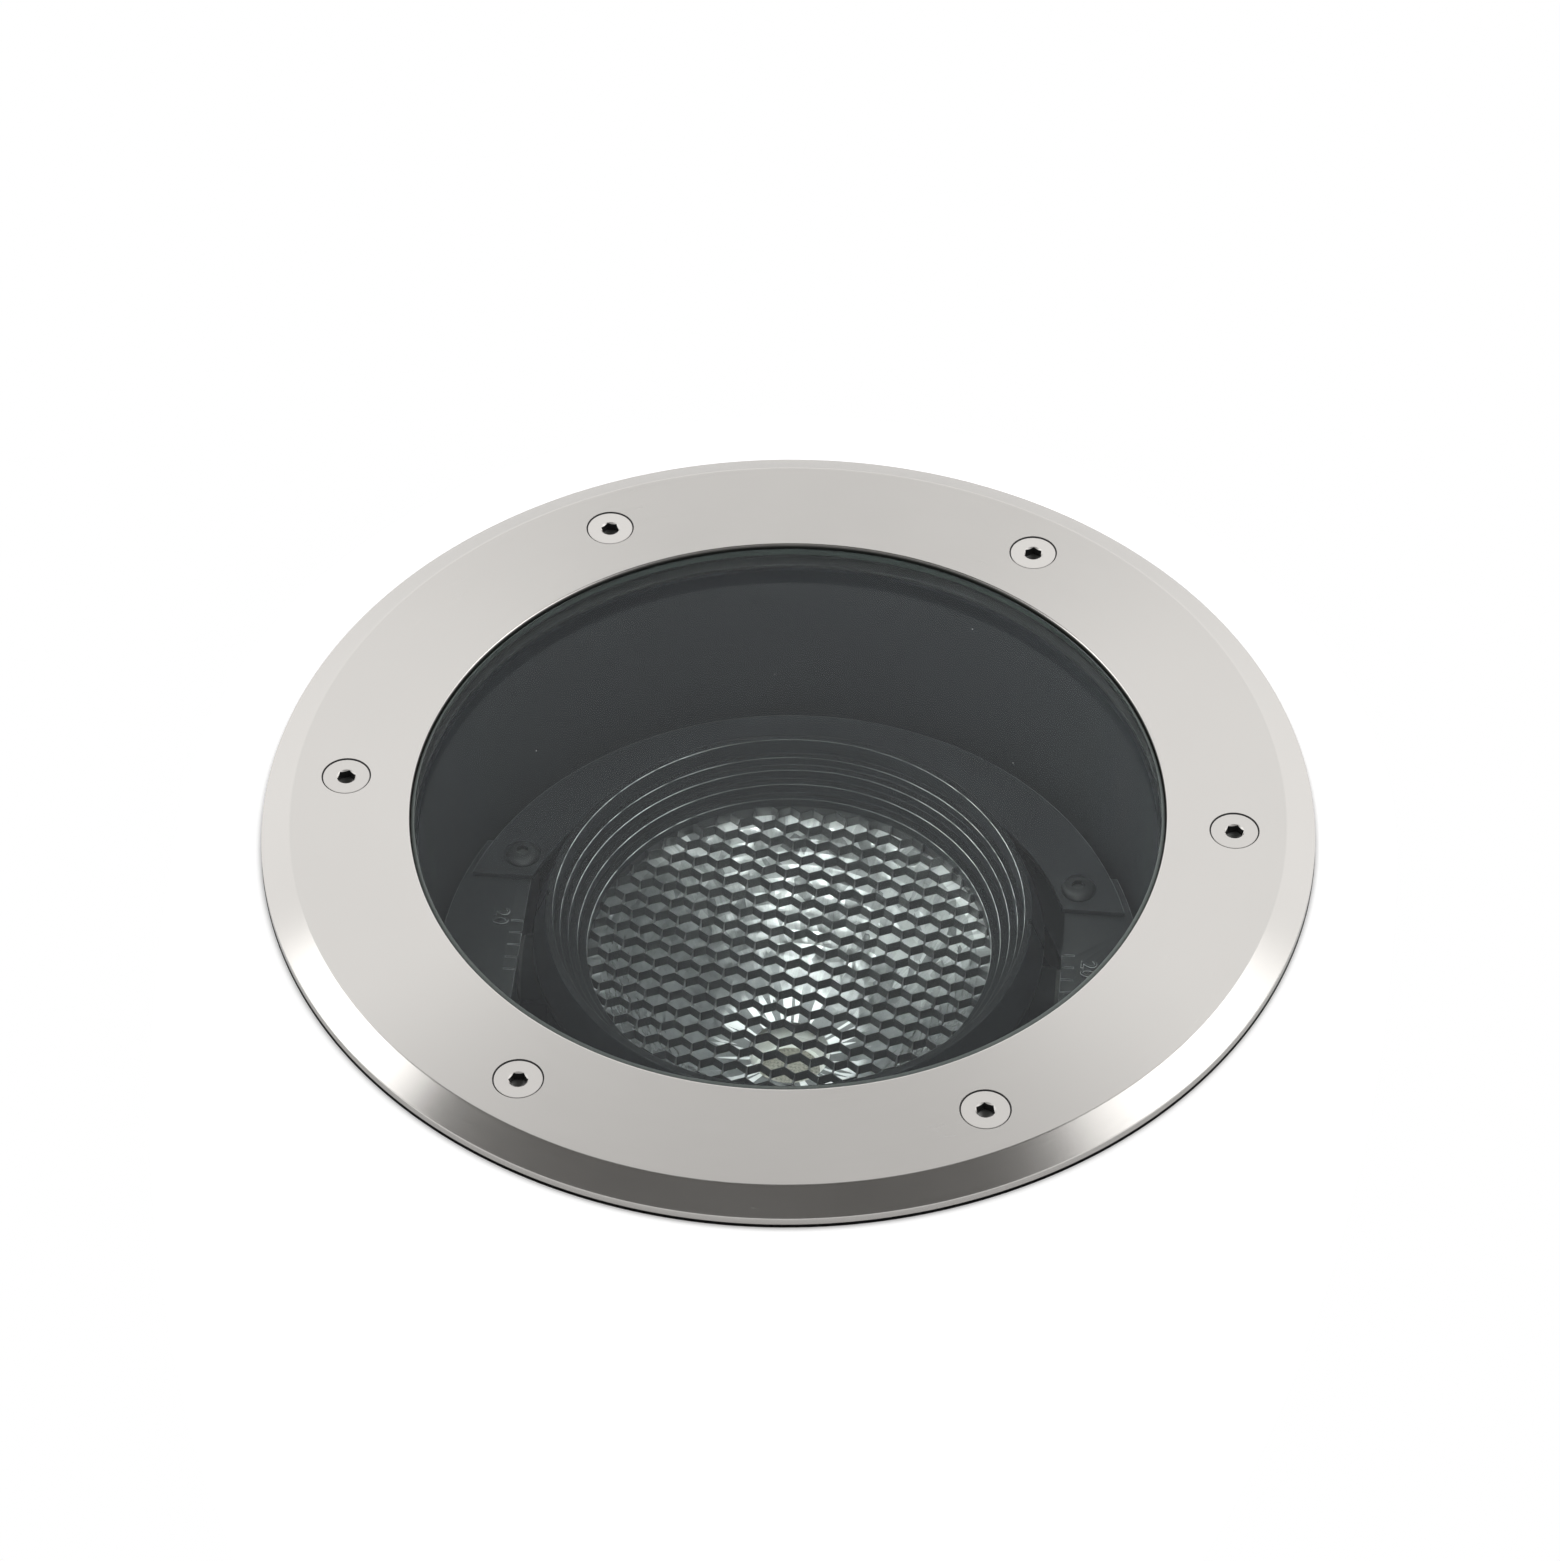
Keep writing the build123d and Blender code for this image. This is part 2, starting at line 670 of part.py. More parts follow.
# Honeycomb louver, whose rim lies against the baffle's ledge
across = louver_pitch - louver_wall
cell_row = louver_pitch * sqrt(3) / 2
reach = ceil(louver_radius / cell_row) + 1
clip = Circle(louver_cell_clip)
cell = Rot(0, 0, 30) * hexagon(across)
cell_area = cell.area
cells = []
for row in range(-reach, reach + 1):
    for column in range(-reach - 1, reach + 2):
        x = louver_pitch * (column + (row % 2) / 2)
        y = cell_row * row
        distance = sqrt(x * x + y * y)
        if distance + across / sqrt(3) < louver_cell_clip:
            cells.append(Pos(x, y) * cell)
        elif distance - across / sqrt(3) < louver_cell_clip:
            cut = (Pos(x, y) * cell) & clip
            if cut and cut.area > louver_least_cell_share * cell_area:
                cells.append(cut)
comb = Rot(0, 0, louver_turn) * (Circle(louver_radius) - cells)
louver = Pos(0, 0, louver_bottom) * extrude(comb, louver_depth)
save("louver", louver)
print("louver cells", len(cells))

# Reflector: ruled bands between polygons, with a round flange on top
def facet_stack(inset, stretch):
    """The reflector's faceted funnel, set inward by a wall and run past both ends."""
    sections = []
    for band in range(reflector_bands + 1):
        share = band / reflector_bands
        height = holder_top + share * (reflector_top - holder_top)
        width = reflector_mouth_radius - reflector_throat_radius
        radius = reflector_throat_radius + width * share ** reflector_curve_share - inset
        if band == 0:
            height -= stretch
        if band == reflector_bands:
            height += stretch
        sections.append(Pos(0, 0, height) * RegularPolygon(radius, reflector_facets))
    return loft(sections, ruled=True)


reflector = facet_stack(0, 0) + rod(reflector_flange_radius, flange_bottom, reflector_top)
reflector -= facet_stack(reflector_wall, overrun)
save("reflector", reflector)

# Spring ring under the reflector's flange
snap = turned([
    (snap_inner_radius, snap_bottom),
    (snap_groove_radius - seat_gap, snap_bottom),
    (snap_groove_radius - seat_gap, flange_bottom),
    (snap_inner_radius, flange_bottom),
])
snap -= Pos(0, baffle_bore, flange_bottom) * Box(
    snap_mouth, 2 * snap_groove_depth + 2 * (baffle_bore - snap_inner_radius) + overrun,
    2 * snap_thickness + overrun)
save("reflector_snap_ring", snap)

# Head shell with pivot bosses outside and screw bosses inside
shell = turned([
    (shell_bore, shell_foot),
    (shell_radius, shell_foot),
    (shell_radius, rim_bottom),
    (shell_bore, rim_bottom),
])
shell_middle = (shell_bore + shell_radius) / 2
shell += mirrored_x(x_rod(pivot_boss_radius, shell_middle, pivot_boss_face, pivot_z))
sink_boss = rod(sink_boss_radius, shell_foot, shell_foot + sink_boss_height)
sink_boss += Pos((shell_middle - sink_boss_circle) / 2, 0, shell_foot) * extrude(
    Rectangle(shell_middle - sink_boss_circle, 2 * sink_boss_radius), sink_boss_height)
sink_boss = Pos(sink_boss_circle, 0, 0) * sink_boss
shell += around(sink_boss, sink_screw_count, 180 / sink_screw_count)
shell -= mirrored_x(x_rod(pivot_thread_radius + fit, pivot_boss_face - pivot_thread_length - overrun,
                          pivot_boss_face + overrun, pivot_z))
sink_bore = rod(sink_screw_radius + fit, shell_foot - overrun,
                shell_foot + sink_boss_height - overrun, sink_boss_circle)
shell -= around(sink_bore, sink_screw_count, 180 / sink_screw_count)
save("head_shell", shell)

# Lamp board with its chip field, on a heat pad, under a holder
board_bottom = shell_foot + pad_thickness
board_top = board_bottom + board_thickness
board = Pos(0, 0, board_bottom) * extrude(Rectangle(board_size, board_size), board_thickness)
board += rod(chip_radius, board_top, board_top + chip_height)
save("led_module", board)
save("thermal_pad", Pos(0, 0, shell_foot) * extrude(Rectangle(board_size, board_size), pad_thickness))
holder = turned([
    (holder_bore_radius, shell_foot),
    (holder_radius, shell_foot),
    (holder_radius, shell_foot + holder_height / 2),
    (holder_top_radius, holder_top),
    (holder_mouth_radius, holder_top),
    (holder_bore_radius, board_top),
])
pocket = board_size + 2 * seat_gap
holder -= Pos(0, 0, shell_foot - overrun) * extrude(
    Rectangle(pocket, pocket), overrun + pad_thickness + board_thickness)
holder_bore = rod(holder_screw_radius + fit, shell_foot - overrun, holder_top + overrun,
                  holder_screw_circle)
head_seat = holder_top - holder_screw_head_height
holder_bore += rod(holder_screw_head_radius + fit, head_seat, holder_top + overrun,
                   holder_screw_circle)
holder -= around(holder_bore, holder_screw_count)
save("led_holder", holder)
holder_screw = rod(holder_screw_radius, head_seat - holder_screw_length, head_seat, holder_screw_circle)
holder_screw += rod(holder_screw_head_radius, head_seat, holder_top, holder_screw_circle)
holder_screw -= hex_rod(holder_socket_flats, holder_top - holder_socket_depth, holder_top + overrun,
                        holder_screw_circle)
save("led_holder_screws", *around(holder_screw, holder_screw_count))

# Heat sink: plate, core and radial fins with a cut lower corner
sink = rod(shell_radius, sink_plate_bottom, shell_foot)
sink += rod(sink_core_radius, sink_bottom, sink_plate_bottom)
sink_fin = fin([
    (sink_core_radius / 2, sink_plate_bottom + sink_plate_thickness / 2),
    (sink_fin_radius, sink_plate_bottom + sink_plate_thickness / 2),
    (sink_fin_radius, sink_bottom + sink_fin_cut),
    (sink_fin_radius - sink_fin_cut, sink_bottom),
    (sink_core_radius / 2, sink_bottom),
], sink_fin_thickness)
sink += around(sink_fin, sink_fin_count)
sink -= around(rod(sink_hole_radius, sink_plate_bottom - overrun, shell_foot + overrun, sink_boss_circle),
               sink_screw_count, 180 / sink_screw_count)
sink -= around(rod(holder_screw_radius + fit, head_seat - holder_screw_length - seat_gap,
                   shell_foot + overrun, holder_screw_circle), holder_screw_count)
save("heat_sink", sink)
sink_screw = rod(sink_screw_radius, sink_plate_bottom, sink_plate_bottom + sink_screw_length,
                 sink_boss_circle)
sink_screw += rod(sink_screw_head_radius, sink_plate_bottom - sink_screw_head_height,
                  sink_plate_bottom, sink_boss_circle)
sink_head_bottom = sink_plate_bottom - sink_screw_head_height
sink_screw -= hex_rod(sink_socket_flats, sink_head_bottom - overrun, sink_head_bottom + sink_socket_depth,
                      sink_boss_circle)
save("heat_sink_screws", *around(sink_screw, sink_screw_count, 180 / sink_screw_count))

# Cable gland along +Y
def y_hex(flats, start, end):
    """A hexagon bar along +Y at the gland's height."""
    return Pos(0, start, gland_z) * extrude(Plane.XZ * hexagon(flats), start - end)


gland_hex_start = gland_face + gland_washer_thickness
gland_hex_end = gland_hex_start + gland_hex_length
gland_thread_start = gland_inner_face - gland_nut_thickness - gland_thread_end
gland = y_hex(gland_hex_flats, gland_hex_start, gland_hex_end)
gland += y_rod(gland_thread_radius, gland_thread_start, gland_hex_start, gland_z)
gland += y_rod(gland_neck_radius, gland_hex_end, gland_hex_end + gland_neck_length, gland_z)
gland -= y_rod(gland_inner_bore, gland_thread_start - overrun, gland_hex_end + overrun, gland_z)
seal_start = gland_hex_end - gland_hex_length / 2
gland -= y_rod(gland_seal_radius + fit, seal_start, gland_hex_end + gland_neck_length + overrun, gland_z)
save("gland_body", gland)
gland_washer = y_rod(gland_washer_radius, gland_face, gland_hex_start, gland_z)
gland_washer -= y_rod(gland_thread_radius + fit, gland_face - overrun, gland_hex_start + overrun, gland_z)
save("gland_washer", gland_washer)
lock_nut = y_hex(gland_nut_flats, gland_inner_face - gland_nut_thickness, gland_inner_face)
lock_nut -= y_rod(gland_thread_radius + fit, gland_inner_face - gland_nut_thickness - overrun,
                  gland_inner_face + overrun, gland_z)
save("gland_lock_nut", lock_nut)
seal_end = seal_start + gland_seal_length
gland_seal = y_rod(gland_seal_radius, seal_start, seal_end, gland_z)
gland_seal -= y_rod(gland_bore, seal_start - overrun, seal_end + overrun, gland_z)
save("gland_seal", gland_seal)
cap_end = gland_hex_end + gland_cap_length
cap_hex_end = gland_hex_end + gland_cap_hex_length
cap_barrel = gland_cap_flats / 2
cap = y_hex(gland_cap_flats, gland_hex_end, cap_hex_end)
cap += Pos(0, 0, gland_z) * Rot(-90, 0, 0) * turned([
    (0, cap_hex_end),
    (cap_barrel, cap_hex_end),
    (cap_barrel, (cap_hex_end + cap_end) / 2),
    (gland_cap_nose_radius, cap_end),
    (0, cap_end),
])
cap -= y_rod(gland_neck_radius + fit, gland_hex_end - overrun, gland_hex_end + gland_neck_length, gland_z)
cap -= y_rod(gland_seal_radius + fit, gland_hex_end - overrun, seal_end, gland_z)
cap -= y_rod(gland_bore + seat_gap, gland_hex_end, cap_end + overrun, gland_z)
save("gland_cap", cap)

# Bracket, driver, terminal block
bracket_plan = Pos(0, (bracket_back - bracket_front) / 2) * RectangleRounded(
    bracket_length, bracket_front + bracket_back, bracket_corner)
bracket = Pos(0, 0, bracket_z) * extrude(bracket_plan, bracket_thickness)
bracket -= [rod(bracket_hole_radius, bracket_z - overrun, bracket_top + overrun,
                side * bracket_screw_x, -bracket_screw_y) for side in (-1, 1)]
save("driver_bracket", bracket)
bracket_screw = rod(bracket_screw_radius, bracket_top - bracket_screw_length, bracket_top,
                    bracket_screw_x, -bracket_screw_y)
bracket_screw += rod(bracket_screw_head_radius, bracket_top, bracket_top + bracket_screw_head_height,
                     bracket_screw_x, -bracket_screw_y)
bracket_head_top = bracket_top + bracket_screw_head_height
bracket_screw -= hex_rod(bracket_socket_flats, bracket_head_top - bracket_socket_depth,
                         bracket_head_top + overrun, bracket_screw_x, -bracket_screw_y)
save("bracket_screws", *mirrored_x(bracket_screw))
driver_plan = Pos(0, driver_back - driver_width / 2) * RectangleRounded(
    driver_length, driver_width, driver_corner)
driver = Pos(0, 0, bracket_top) * extrude(driver_plan, driver_height)
driver = chamfer(driver.faces().sort_by(Axis.Z)[-1].edges(), driver_top_round)
save("driver", driver)
terminal_y = driver_back + terminal_gap
terminal_top = bracket_top + terminal_height
terminal_low = terminal_top - terminal_step_drop
terminal_outline = [
    (terminal_y, bracket_top),
    (terminal_y + terminal_width, bracket_top),
    (terminal_y + terminal_width, terminal_low),
    (terminal_y + terminal_width - terminal_step_width, terminal_low),
    (terminal_y + terminal_width - terminal_step_width, terminal_top),
    (terminal_y + terminal_step_width, terminal_top),
    (terminal_y + terminal_step_width, terminal_low),
    (terminal_y, terminal_low),
]
terminal = extrude(Plane.YZ * make_face(Polyline(*terminal_outline, close=True)),
                   terminal_length / 2, both=True)
pole_pitch = terminal_length / terminal_poles
entry_z = bracket_top + (terminal_height - terminal_step_drop) / 2
screws = []
for pole in range(terminal_poles):
    x = pole_pitch * (pole + 0.5) - terminal_length / 2
    for y in (terminal_y + terminal_step_width / 2, terminal_y + terminal_width - terminal_step_width / 2):
        well = terminal_low - terminal_screw_depth
        terminal -= rod(terminal_screw_radius + fit, well, terminal_low + overrun, x, y)
        screws.append(rod(terminal_screw_radius, well, terminal_low - terminal_screw_sink, x, y))
    for y, inward in ((terminal_y, 1), (terminal_y + terminal_width, -1)):
        entry = y_rod(terminal_entry_radius, y - inward * overrun, y + inward * terminal_entry_depth)
        terminal -= Pos(x, 0, entry_z) * entry
save("terminal_block", terminal)
save("terminal_screws", *screws)
earth = rod(earth_screw_radius, earth_seat + earth_washer_thickness - earth_screw_length, earth_seat,
            earth_x, earth_y)
earth += rod(earth_washer_radius, earth_seat, earth_seat + earth_washer_thickness, earth_x, earth_y)
earth += hex_rod(earth_screw_head_flats, earth_seat + earth_washer_thickness,
                 earth_seat + earth_washer_thickness + earth_screw_head_height, earth_x, earth_y)
save("earth_screw", earth)
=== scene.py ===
import math

import bmesh
import bpy
from bpy.props import FloatProperty, FloatVectorProperty, IntProperty, PointerProperty, StringProperty
from mathutils import Matrix, Vector


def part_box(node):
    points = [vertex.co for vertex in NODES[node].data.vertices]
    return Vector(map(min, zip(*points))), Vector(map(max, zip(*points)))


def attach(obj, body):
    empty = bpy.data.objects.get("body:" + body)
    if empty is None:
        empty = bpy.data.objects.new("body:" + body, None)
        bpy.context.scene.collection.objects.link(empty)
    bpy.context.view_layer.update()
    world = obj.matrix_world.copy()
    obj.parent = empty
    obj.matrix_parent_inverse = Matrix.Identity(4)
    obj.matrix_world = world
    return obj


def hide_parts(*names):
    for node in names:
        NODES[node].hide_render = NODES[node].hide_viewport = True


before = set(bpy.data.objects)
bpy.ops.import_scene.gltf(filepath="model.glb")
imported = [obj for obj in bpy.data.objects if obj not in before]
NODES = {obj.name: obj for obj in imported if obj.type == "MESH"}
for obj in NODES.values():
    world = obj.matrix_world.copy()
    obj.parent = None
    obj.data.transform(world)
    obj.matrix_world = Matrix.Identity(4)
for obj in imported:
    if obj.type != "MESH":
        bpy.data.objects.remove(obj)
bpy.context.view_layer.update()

bl_info = {
    "name": "Recessed Ground Uplight",
    "version": (1, 0, 0),
    "blender": (4, 5, 0),
    "location": "3D View > Sidebar > Uplight",
    "description": "Builds the dressed pieces, finishes and studio of a round recessed uplight",
    "category": "Object",
}

MM = 0.001
ON_AXIS = 1e-7


def low(node):
    """Lowest corner of a CAD node."""
    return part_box(node)[0]


def high(node):
    """Highest corner of a CAD node."""
    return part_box(node)[1]


# Heights and radii that the CAD nodes give, in metres
BEZEL_RADIUS = high("bezel_ring").x
BEZEL_TOP = high("bezel_ring").z
GLASS_TOP = high("glass_lens").z
GLASS_BOTTOM = low("glass_lens").z
LIP_TOP = high("baffle_ring").z
EAR_TOP = low("yoke_ring").z + 32.7 * MM
PLATE_TOP = high("yoke_cover_plate").z

# Places that the CAD boxes don't give, in metres
SCREW_CIRCLE = 0.110
PLATE_SCREW_X, PLATE_SCREW_Y = 0.072, 0.0303
SOFTBOX_DISTANCE = 1.7
CAMERA_PLACE = (0.087498, -0.913121, 0.951342)


# Mesh helpers

def new_object(name, mesh, materials, sharp=32.0):
    """Links a mesh with its materials, shaded smooth but for edges over an angle in degrees."""
    made = bpy.data.objects.new(name, mesh)
    bpy.context.scene.collection.objects.link(made)
    for material in materials:
        mesh.materials.append(material)
    mesh.polygons.foreach_set("use_smooth", [True] * len(mesh.polygons))
    mesh.set_sharp_from_angle(angle=math.radians(sharp))
    mesh.update()
    return made


def stand_in(name, mesh, node, body, finishes, sharp=32.0):
    """A piece that rides on a body in a CAD node's place, with finishes by their plain names."""
    piece = new_object(name, mesh, [FINISHES[plain] for plain in finishes], sharp)
    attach(piece, body)
    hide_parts(node)
    return piece


def off_axis(point):
    """Distance of a point from the Z axis."""
    return math.hypot(point.x, point.y)


def turn_z(degrees):
    """A turn about Z."""
    return Matrix.Rotation(math.radians(degrees), 4, "Z")


def outline_mm(points):
    """Outline points from millimetres to metres."""
    return [(r * MM, z * MM) for r, z in points]


def polygon(corners, radius, start=0.0):
    """The corners of a regular polygon about the origin, from an angle in radians on."""
    angles = [start + math.tau * k / corners for k in range(corners)]
    return [(radius * math.cos(angle), radius * math.sin(angle)) for angle in angles]


def rectangle(half_x, half_y):
    """The corners of a rectangle about the origin, by its half sizes."""
    return [(-half_x, -half_y), (half_x, -half_y), (half_x, half_y), (-half_x, half_y)]


def eased(outline, radius, steps=3):
    """Rounds each corner of an outline off the axis, with a point beside it that keeps the flats flat."""
    least_turn = 0.12       # radians; a gentler corner stays as it is
    longest_share = 0.4     # of the side beside the corner
    flat_from = 1.2         # times the ease, where the flat begins
    points = []
    count = len(outline)
    for i, (x, y) in enumerate(outline):
        here = Vector((x, y))
        before = Vector(outline[i - 1]) - here
        after = Vector(outline[(i + 1) % count]) - here
        ease = min(radius, before.length * longest_share, after.length * longest_share)
        turn = math.pi - before.angle(after) if before.length and after.length else 0
        if x < ON_AXIS or turn < least_turn:
            points.append((x, y))
            continue
        start = here + before.normalized() * ease
        end = here + after.normalized() * ease
        points.append(tuple(here + before.normalized() * ease * flat_from))
        for k in range(steps + 1):
            t = k / steps
            p = start * (1 - t) ** 2 + here * (2 * t * (1 - t)) + end * t ** 2
            points.append((p.x, p.y))
        points.append(tuple(here + after.normalized() * ease * flat_from))
    return points


def mesh_of(name, work):
    """The mesh of a finished bmesh."""
    mesh = bpy.data.meshes.new(name)
    work.to_mesh(mesh)
    work.free()
    return mesh


def solid_of(name, work):
    """The mesh of a closed bmesh, with its faces turned outward."""
    bmesh.ops.recalc_face_normals(work, faces=work.faces)
    return mesh_of(name, work)


def bridged(name, work, rings):
    """Mesh of rings of points, each joined to the next and the last to the first; a ring may be one point."""
    around = max(len(ring) for ring in rings)
    for a, b in zip(rings, rings[1:] + rings[:1]):
        if len(a) == 1 and len(b) == 1:
            continue
        for i in range(around):
            j = (i + 1) % around
            corners = [a[i % len(a)], a[j % len(a)], b[j % len(b)], b[i % len(b)]]
            work.faces.new(list(dict.fromkeys(corners)))
    return solid_of(name, work)


def turned_mesh(name, outline, around=240):
    """Mesh of an outline of (radius, height) points in metres, turned about Z."""
    work = bmesh.new()
    rings = []
    for r, z in outline:
        plan = [(0, 0)] if r < ON_AXIS else polygon(around, r)
        rings.append([work.verts.new((x, y, z)) for x, y in plan])
    return bridged(name, work, rings)


def prism_mesh(name, plan, bottom, top):
    """Mesh of a plan of (x, y) points raised between two heights."""
    work = bmesh.new()
    lower = [work.verts.new((x, y, bottom)) for x, y in plan]
    upper = [work.verts.new((x, y, top)) for x, y in plan]
    work.faces.new(lower)
    work.faces.new(upper)
    for i in range(len(plan)):
        j = (i + 1) % len(plan)
        work.faces.new((lower[i], lower[j], upper[j], upper[i]))
    return solid_of(name, work)


def placed(mesh, matrix):
    """A mesh moved by a matrix."""
    mesh.transform(matrix)
    return mesh


def joined(name, meshes):
    """One mesh of several."""
    work = bmesh.new()
    for mesh in meshes:
        work.from_mesh(mesh)
        bpy.data.meshes.remove(mesh)
    return mesh_of(name, work)


def in_screw_holes(name, mesh, turns=(0,) * 6):
    """Copies of a mesh in the bezel's six screw holes, each turned about its own axis by its degrees."""
    copies = [placed(mesh.copy(), turn_z(60 * i) @ Matrix.Translation((SCREW_CIRCLE, 0, 0)) @ turn_z(turn))
              for i, turn in enumerate(turns)]
    bpy.data.meshes.remove(mesh)
    return joined(name, copies)


def modified(mesh, kind, settings, tools=()):
    """A mesh after one modifier, whose tool objects go with it."""
    things = [bpy.data.objects.new("shaping", mesh), *tools]
    for thing in things:
        bpy.context.scene.collection.objects.link(thing)
    step = things[0].modifiers.new("step", kind)
    for key, value in settings.items():
        setattr(step, key, value)
    shown = things[0].evaluated_get(bpy.context.evaluated_depsgraph_get())
    result = bpy.data.meshes.new_from_object(shown)
    result.name = mesh.name
    for thing in things:
        data = thing.data
        bpy.data.objects.remove(thing)
        bpy.data.meshes.remove(data)
    if not result.polygons:
        raise RuntimeError("a modifier left nothing of " + result.name)
    return result


def cut_by(mesh, tool_mesh):
    """A mesh cut by another one."""
    tool = bpy.data.objects.new("tool", tool_mesh)
    return modified(mesh, "BOOLEAN", {"object": tool, "operation": "DIFFERENCE", "solver": "EXACT"}, [tool])


def bevelled(mesh, width, steps=2):
    """A mesh with its sharp edges bevelled."""
    return modified(mesh, "BEVEL", {"width": width, "segments": steps, "limit_method": "ANGLE",
                                    "angle_limit": math.radians(35.0), "use_clamp_overlap": True})


def node_mesh(node):
    """A copy of a CAD node's mesh in the shared frame, welded, with its flat faces whole."""
    source = NODES[node]
    mesh = source.data.copy()
    mesh.materials.clear()
    mesh.transform(source.matrix_world)
    work = bmesh.new()
    work.from_mesh(mesh)
    weld, flat = 0.000002, math.radians(0.4)
    bmesh.ops.remove_doubles(work, verts=work.verts, dist=weld)
    bmesh.ops.dissolve_limit(work, angle_limit=flat, verts=work.verts, edges=work.edges)
    for edge in work.edges:
        edge.smooth = True
    work.to_mesh(mesh)
    work.free()
    return mesh


def numeral_mesh(words, height, depth):
    """Numerals centred on the origin, with a small bevel."""
    curve = bpy.data.curves.new("numeral", "FONT")
    curve.body = words
    size_per_height = 1.42      # of the built-in font's numerals
    curve.size = height * size_per_height
    curve.extrude = depth / 2
    curve.bevel_depth = depth * 0.15
    curve.resolution_u = 3
    curve.align_x = "CENTER"
    curve.align_y = "CENTER"
    holder = bpy.data.objects.new("numeral", curve)
    bpy.context.scene.collection.objects.link(holder)
    shown = holder.evaluated_get(bpy.context.evaluated_depsgraph_get())
    mesh = bpy.data.meshes.new_from_object(shown)
    bpy.data.objects.remove(holder)
    bpy.data.curves.remove(curve)
    mesh.materials.clear()
    return mesh


def paint(mesh, index, chosen):
    """Gives a material index to the faces whose centre is chosen."""
    for face in mesh.polygons:
        if chosen(face.center, face.normal):
            face.material_index = index


# Shader helpers

class Wire:
    """A socket that takes part in arithmetic; each step adds its Math node."""

    def __init__(self, board, socket):
        self.board = board
        self.socket = socket

    def __add__(self, other):
        return self.board.maths("ADD", self, other)

    def __radd__(self, other):
        return self.board.maths("ADD", other, self)

    def __sub__(self, other):
        return self.board.maths("SUBTRACT", self, other)

    def __rsub__(self, other):
        return self.board.maths("SUBTRACT", other, self)

    def __mul__(self, other):
        return self.board.maths("MULTIPLY", self, other)

    def __rmul__(self, other):
        return self.board.maths("MULTIPLY", other, self)

    def __truediv__(self, other):
        return self.board.maths("DIVIDE", self, other)

    def __rtruediv__(self, other):
        return self.board.maths("DIVIDE", other, self)


class Board:
    """The node tree of a finish or of the world."""

    def __init__(self, owner):
        owner.use_nodes = True
        self.tree = owner.node_tree
        self.tree.nodes.clear()

    def node(self, kind, settings=None, values=None, out=0):
        """Adds a node, sets its settings first, then its sockets, and returns one output."""
        made = self.tree.nodes.new(kind)
        for key, value in (settings or {}).items():
            setattr(made, key, value)
        for key, value in (values or {}).items():
            if isinstance(value, Wire):
                self.tree.links.new(value.socket, made.inputs[key])
            elif value is not None:
                if made.inputs[key].type == "RGBA" and len(value) == 3:
                    value = (*value, 1)
                made.inputs[key].default_value = value
        return Wire(self, made.outputs[out]) if made.outputs else made

    def maths(self, operation, *terms):
        """A Math node on values."""
        return self.node("ShaderNodeMath", {"operation": operation}, dict(enumerate(terms)))

    def clamp(self, value, least=0.0, most=1.0):
        """A value kept between two limits."""
        return self.node("ShaderNodeClamp", None, {"Value": value, "Min": least, "Max": most})

    def ramp(self, value, start, end):
        """0 below start, 1 above end, with a smooth step between."""
        return self.node("ShaderNodeMapRange", {"clamp": True, "interpolation_type": "SMOOTHSTEP"},
                         {"Value": value, "From Min": start, "From Max": end})

    def mix(self, share, first, second):
        """A colour between two colours."""
        return self.node("ShaderNodeMix", {"data_type": "RGBA"}, {0: share, 6: first, 7: second}, out=2)

    def place(self):
        """Object coordinates, in metres from the frame's origin."""
        return self.node("ShaderNodeTexCoord", out=3)

    def ray(self, fact):
        """What Light Path says of a ray."""
        return self.node("ShaderNodeLightPath", out=fact)

    def parts(self, vector):
        """The three parts of a vector."""
        self.node("ShaderNodeSeparateXYZ", None, {0: vector})
        made = self.tree.nodes[-1]
        return [Wire(self, made.outputs[i]) for i in range(3)]

    def stretched(self, vector, scale):
        """A vector times another, part by part."""
        return self.node("ShaderNodeVectorMath", {"operation": "MULTIPLY"}, {0: vector, 1: scale})

    def noise(self, vector, scale, detail=2.0, rough=0.5):
        """Noise between 0 and 1."""
        return self.node("ShaderNodeTexNoise", None, {
            "Vector": vector, "Scale": scale, "Detail": detail, "Roughness": rough})

    def cells(self, vector, scale, randomness=1.0, out="Distance"):
        """Distance to the nearest of scattered points, or the Color of its cell."""
        return self.node("ShaderNodeTexVoronoi", {"feature": "F1"}, {
            "Vector": vector, "Scale": scale, "Randomness": randomness}, out)

    def bump(self, height, strength, distance, normal=None):
        """A bumped normal."""
        return self.node("ShaderNodeBump", None, {
            "Strength": strength, "Distance": distance, "Height": height, "Normal": normal})

    def surface(self, shader):
        """Ends the tree in a shader."""
        self.node("ShaderNodeOutputMaterial", None, {"Surface": shader})


def finish(name):
    """A new finish and its board."""
    material = bpy.data.materials.new(name)
    return material, Board(material)


def shaded(colour, share):
    """A colour made darker or lighter."""
    return tuple(min(1.0, c * share) for c in colour)


def principled(board, **values):
    """A Principled shader by its sockets' names, with _ for a space."""
    return board.node("ShaderNodeBsdfPrincipled", None, {
        key.replace("_", " "): value for key, value in values.items()})


def dust(board, vector, scale, share):
    """A mask of small scattered specks."""
    near = board.cells(vector, scale)
    chance = board.parts(board.cells(vector, scale, out="Color"))[0]
    return (1 - board.ramp(near, 0.05, 0.12)) * board.maths("LESS_THAN", chance, share)


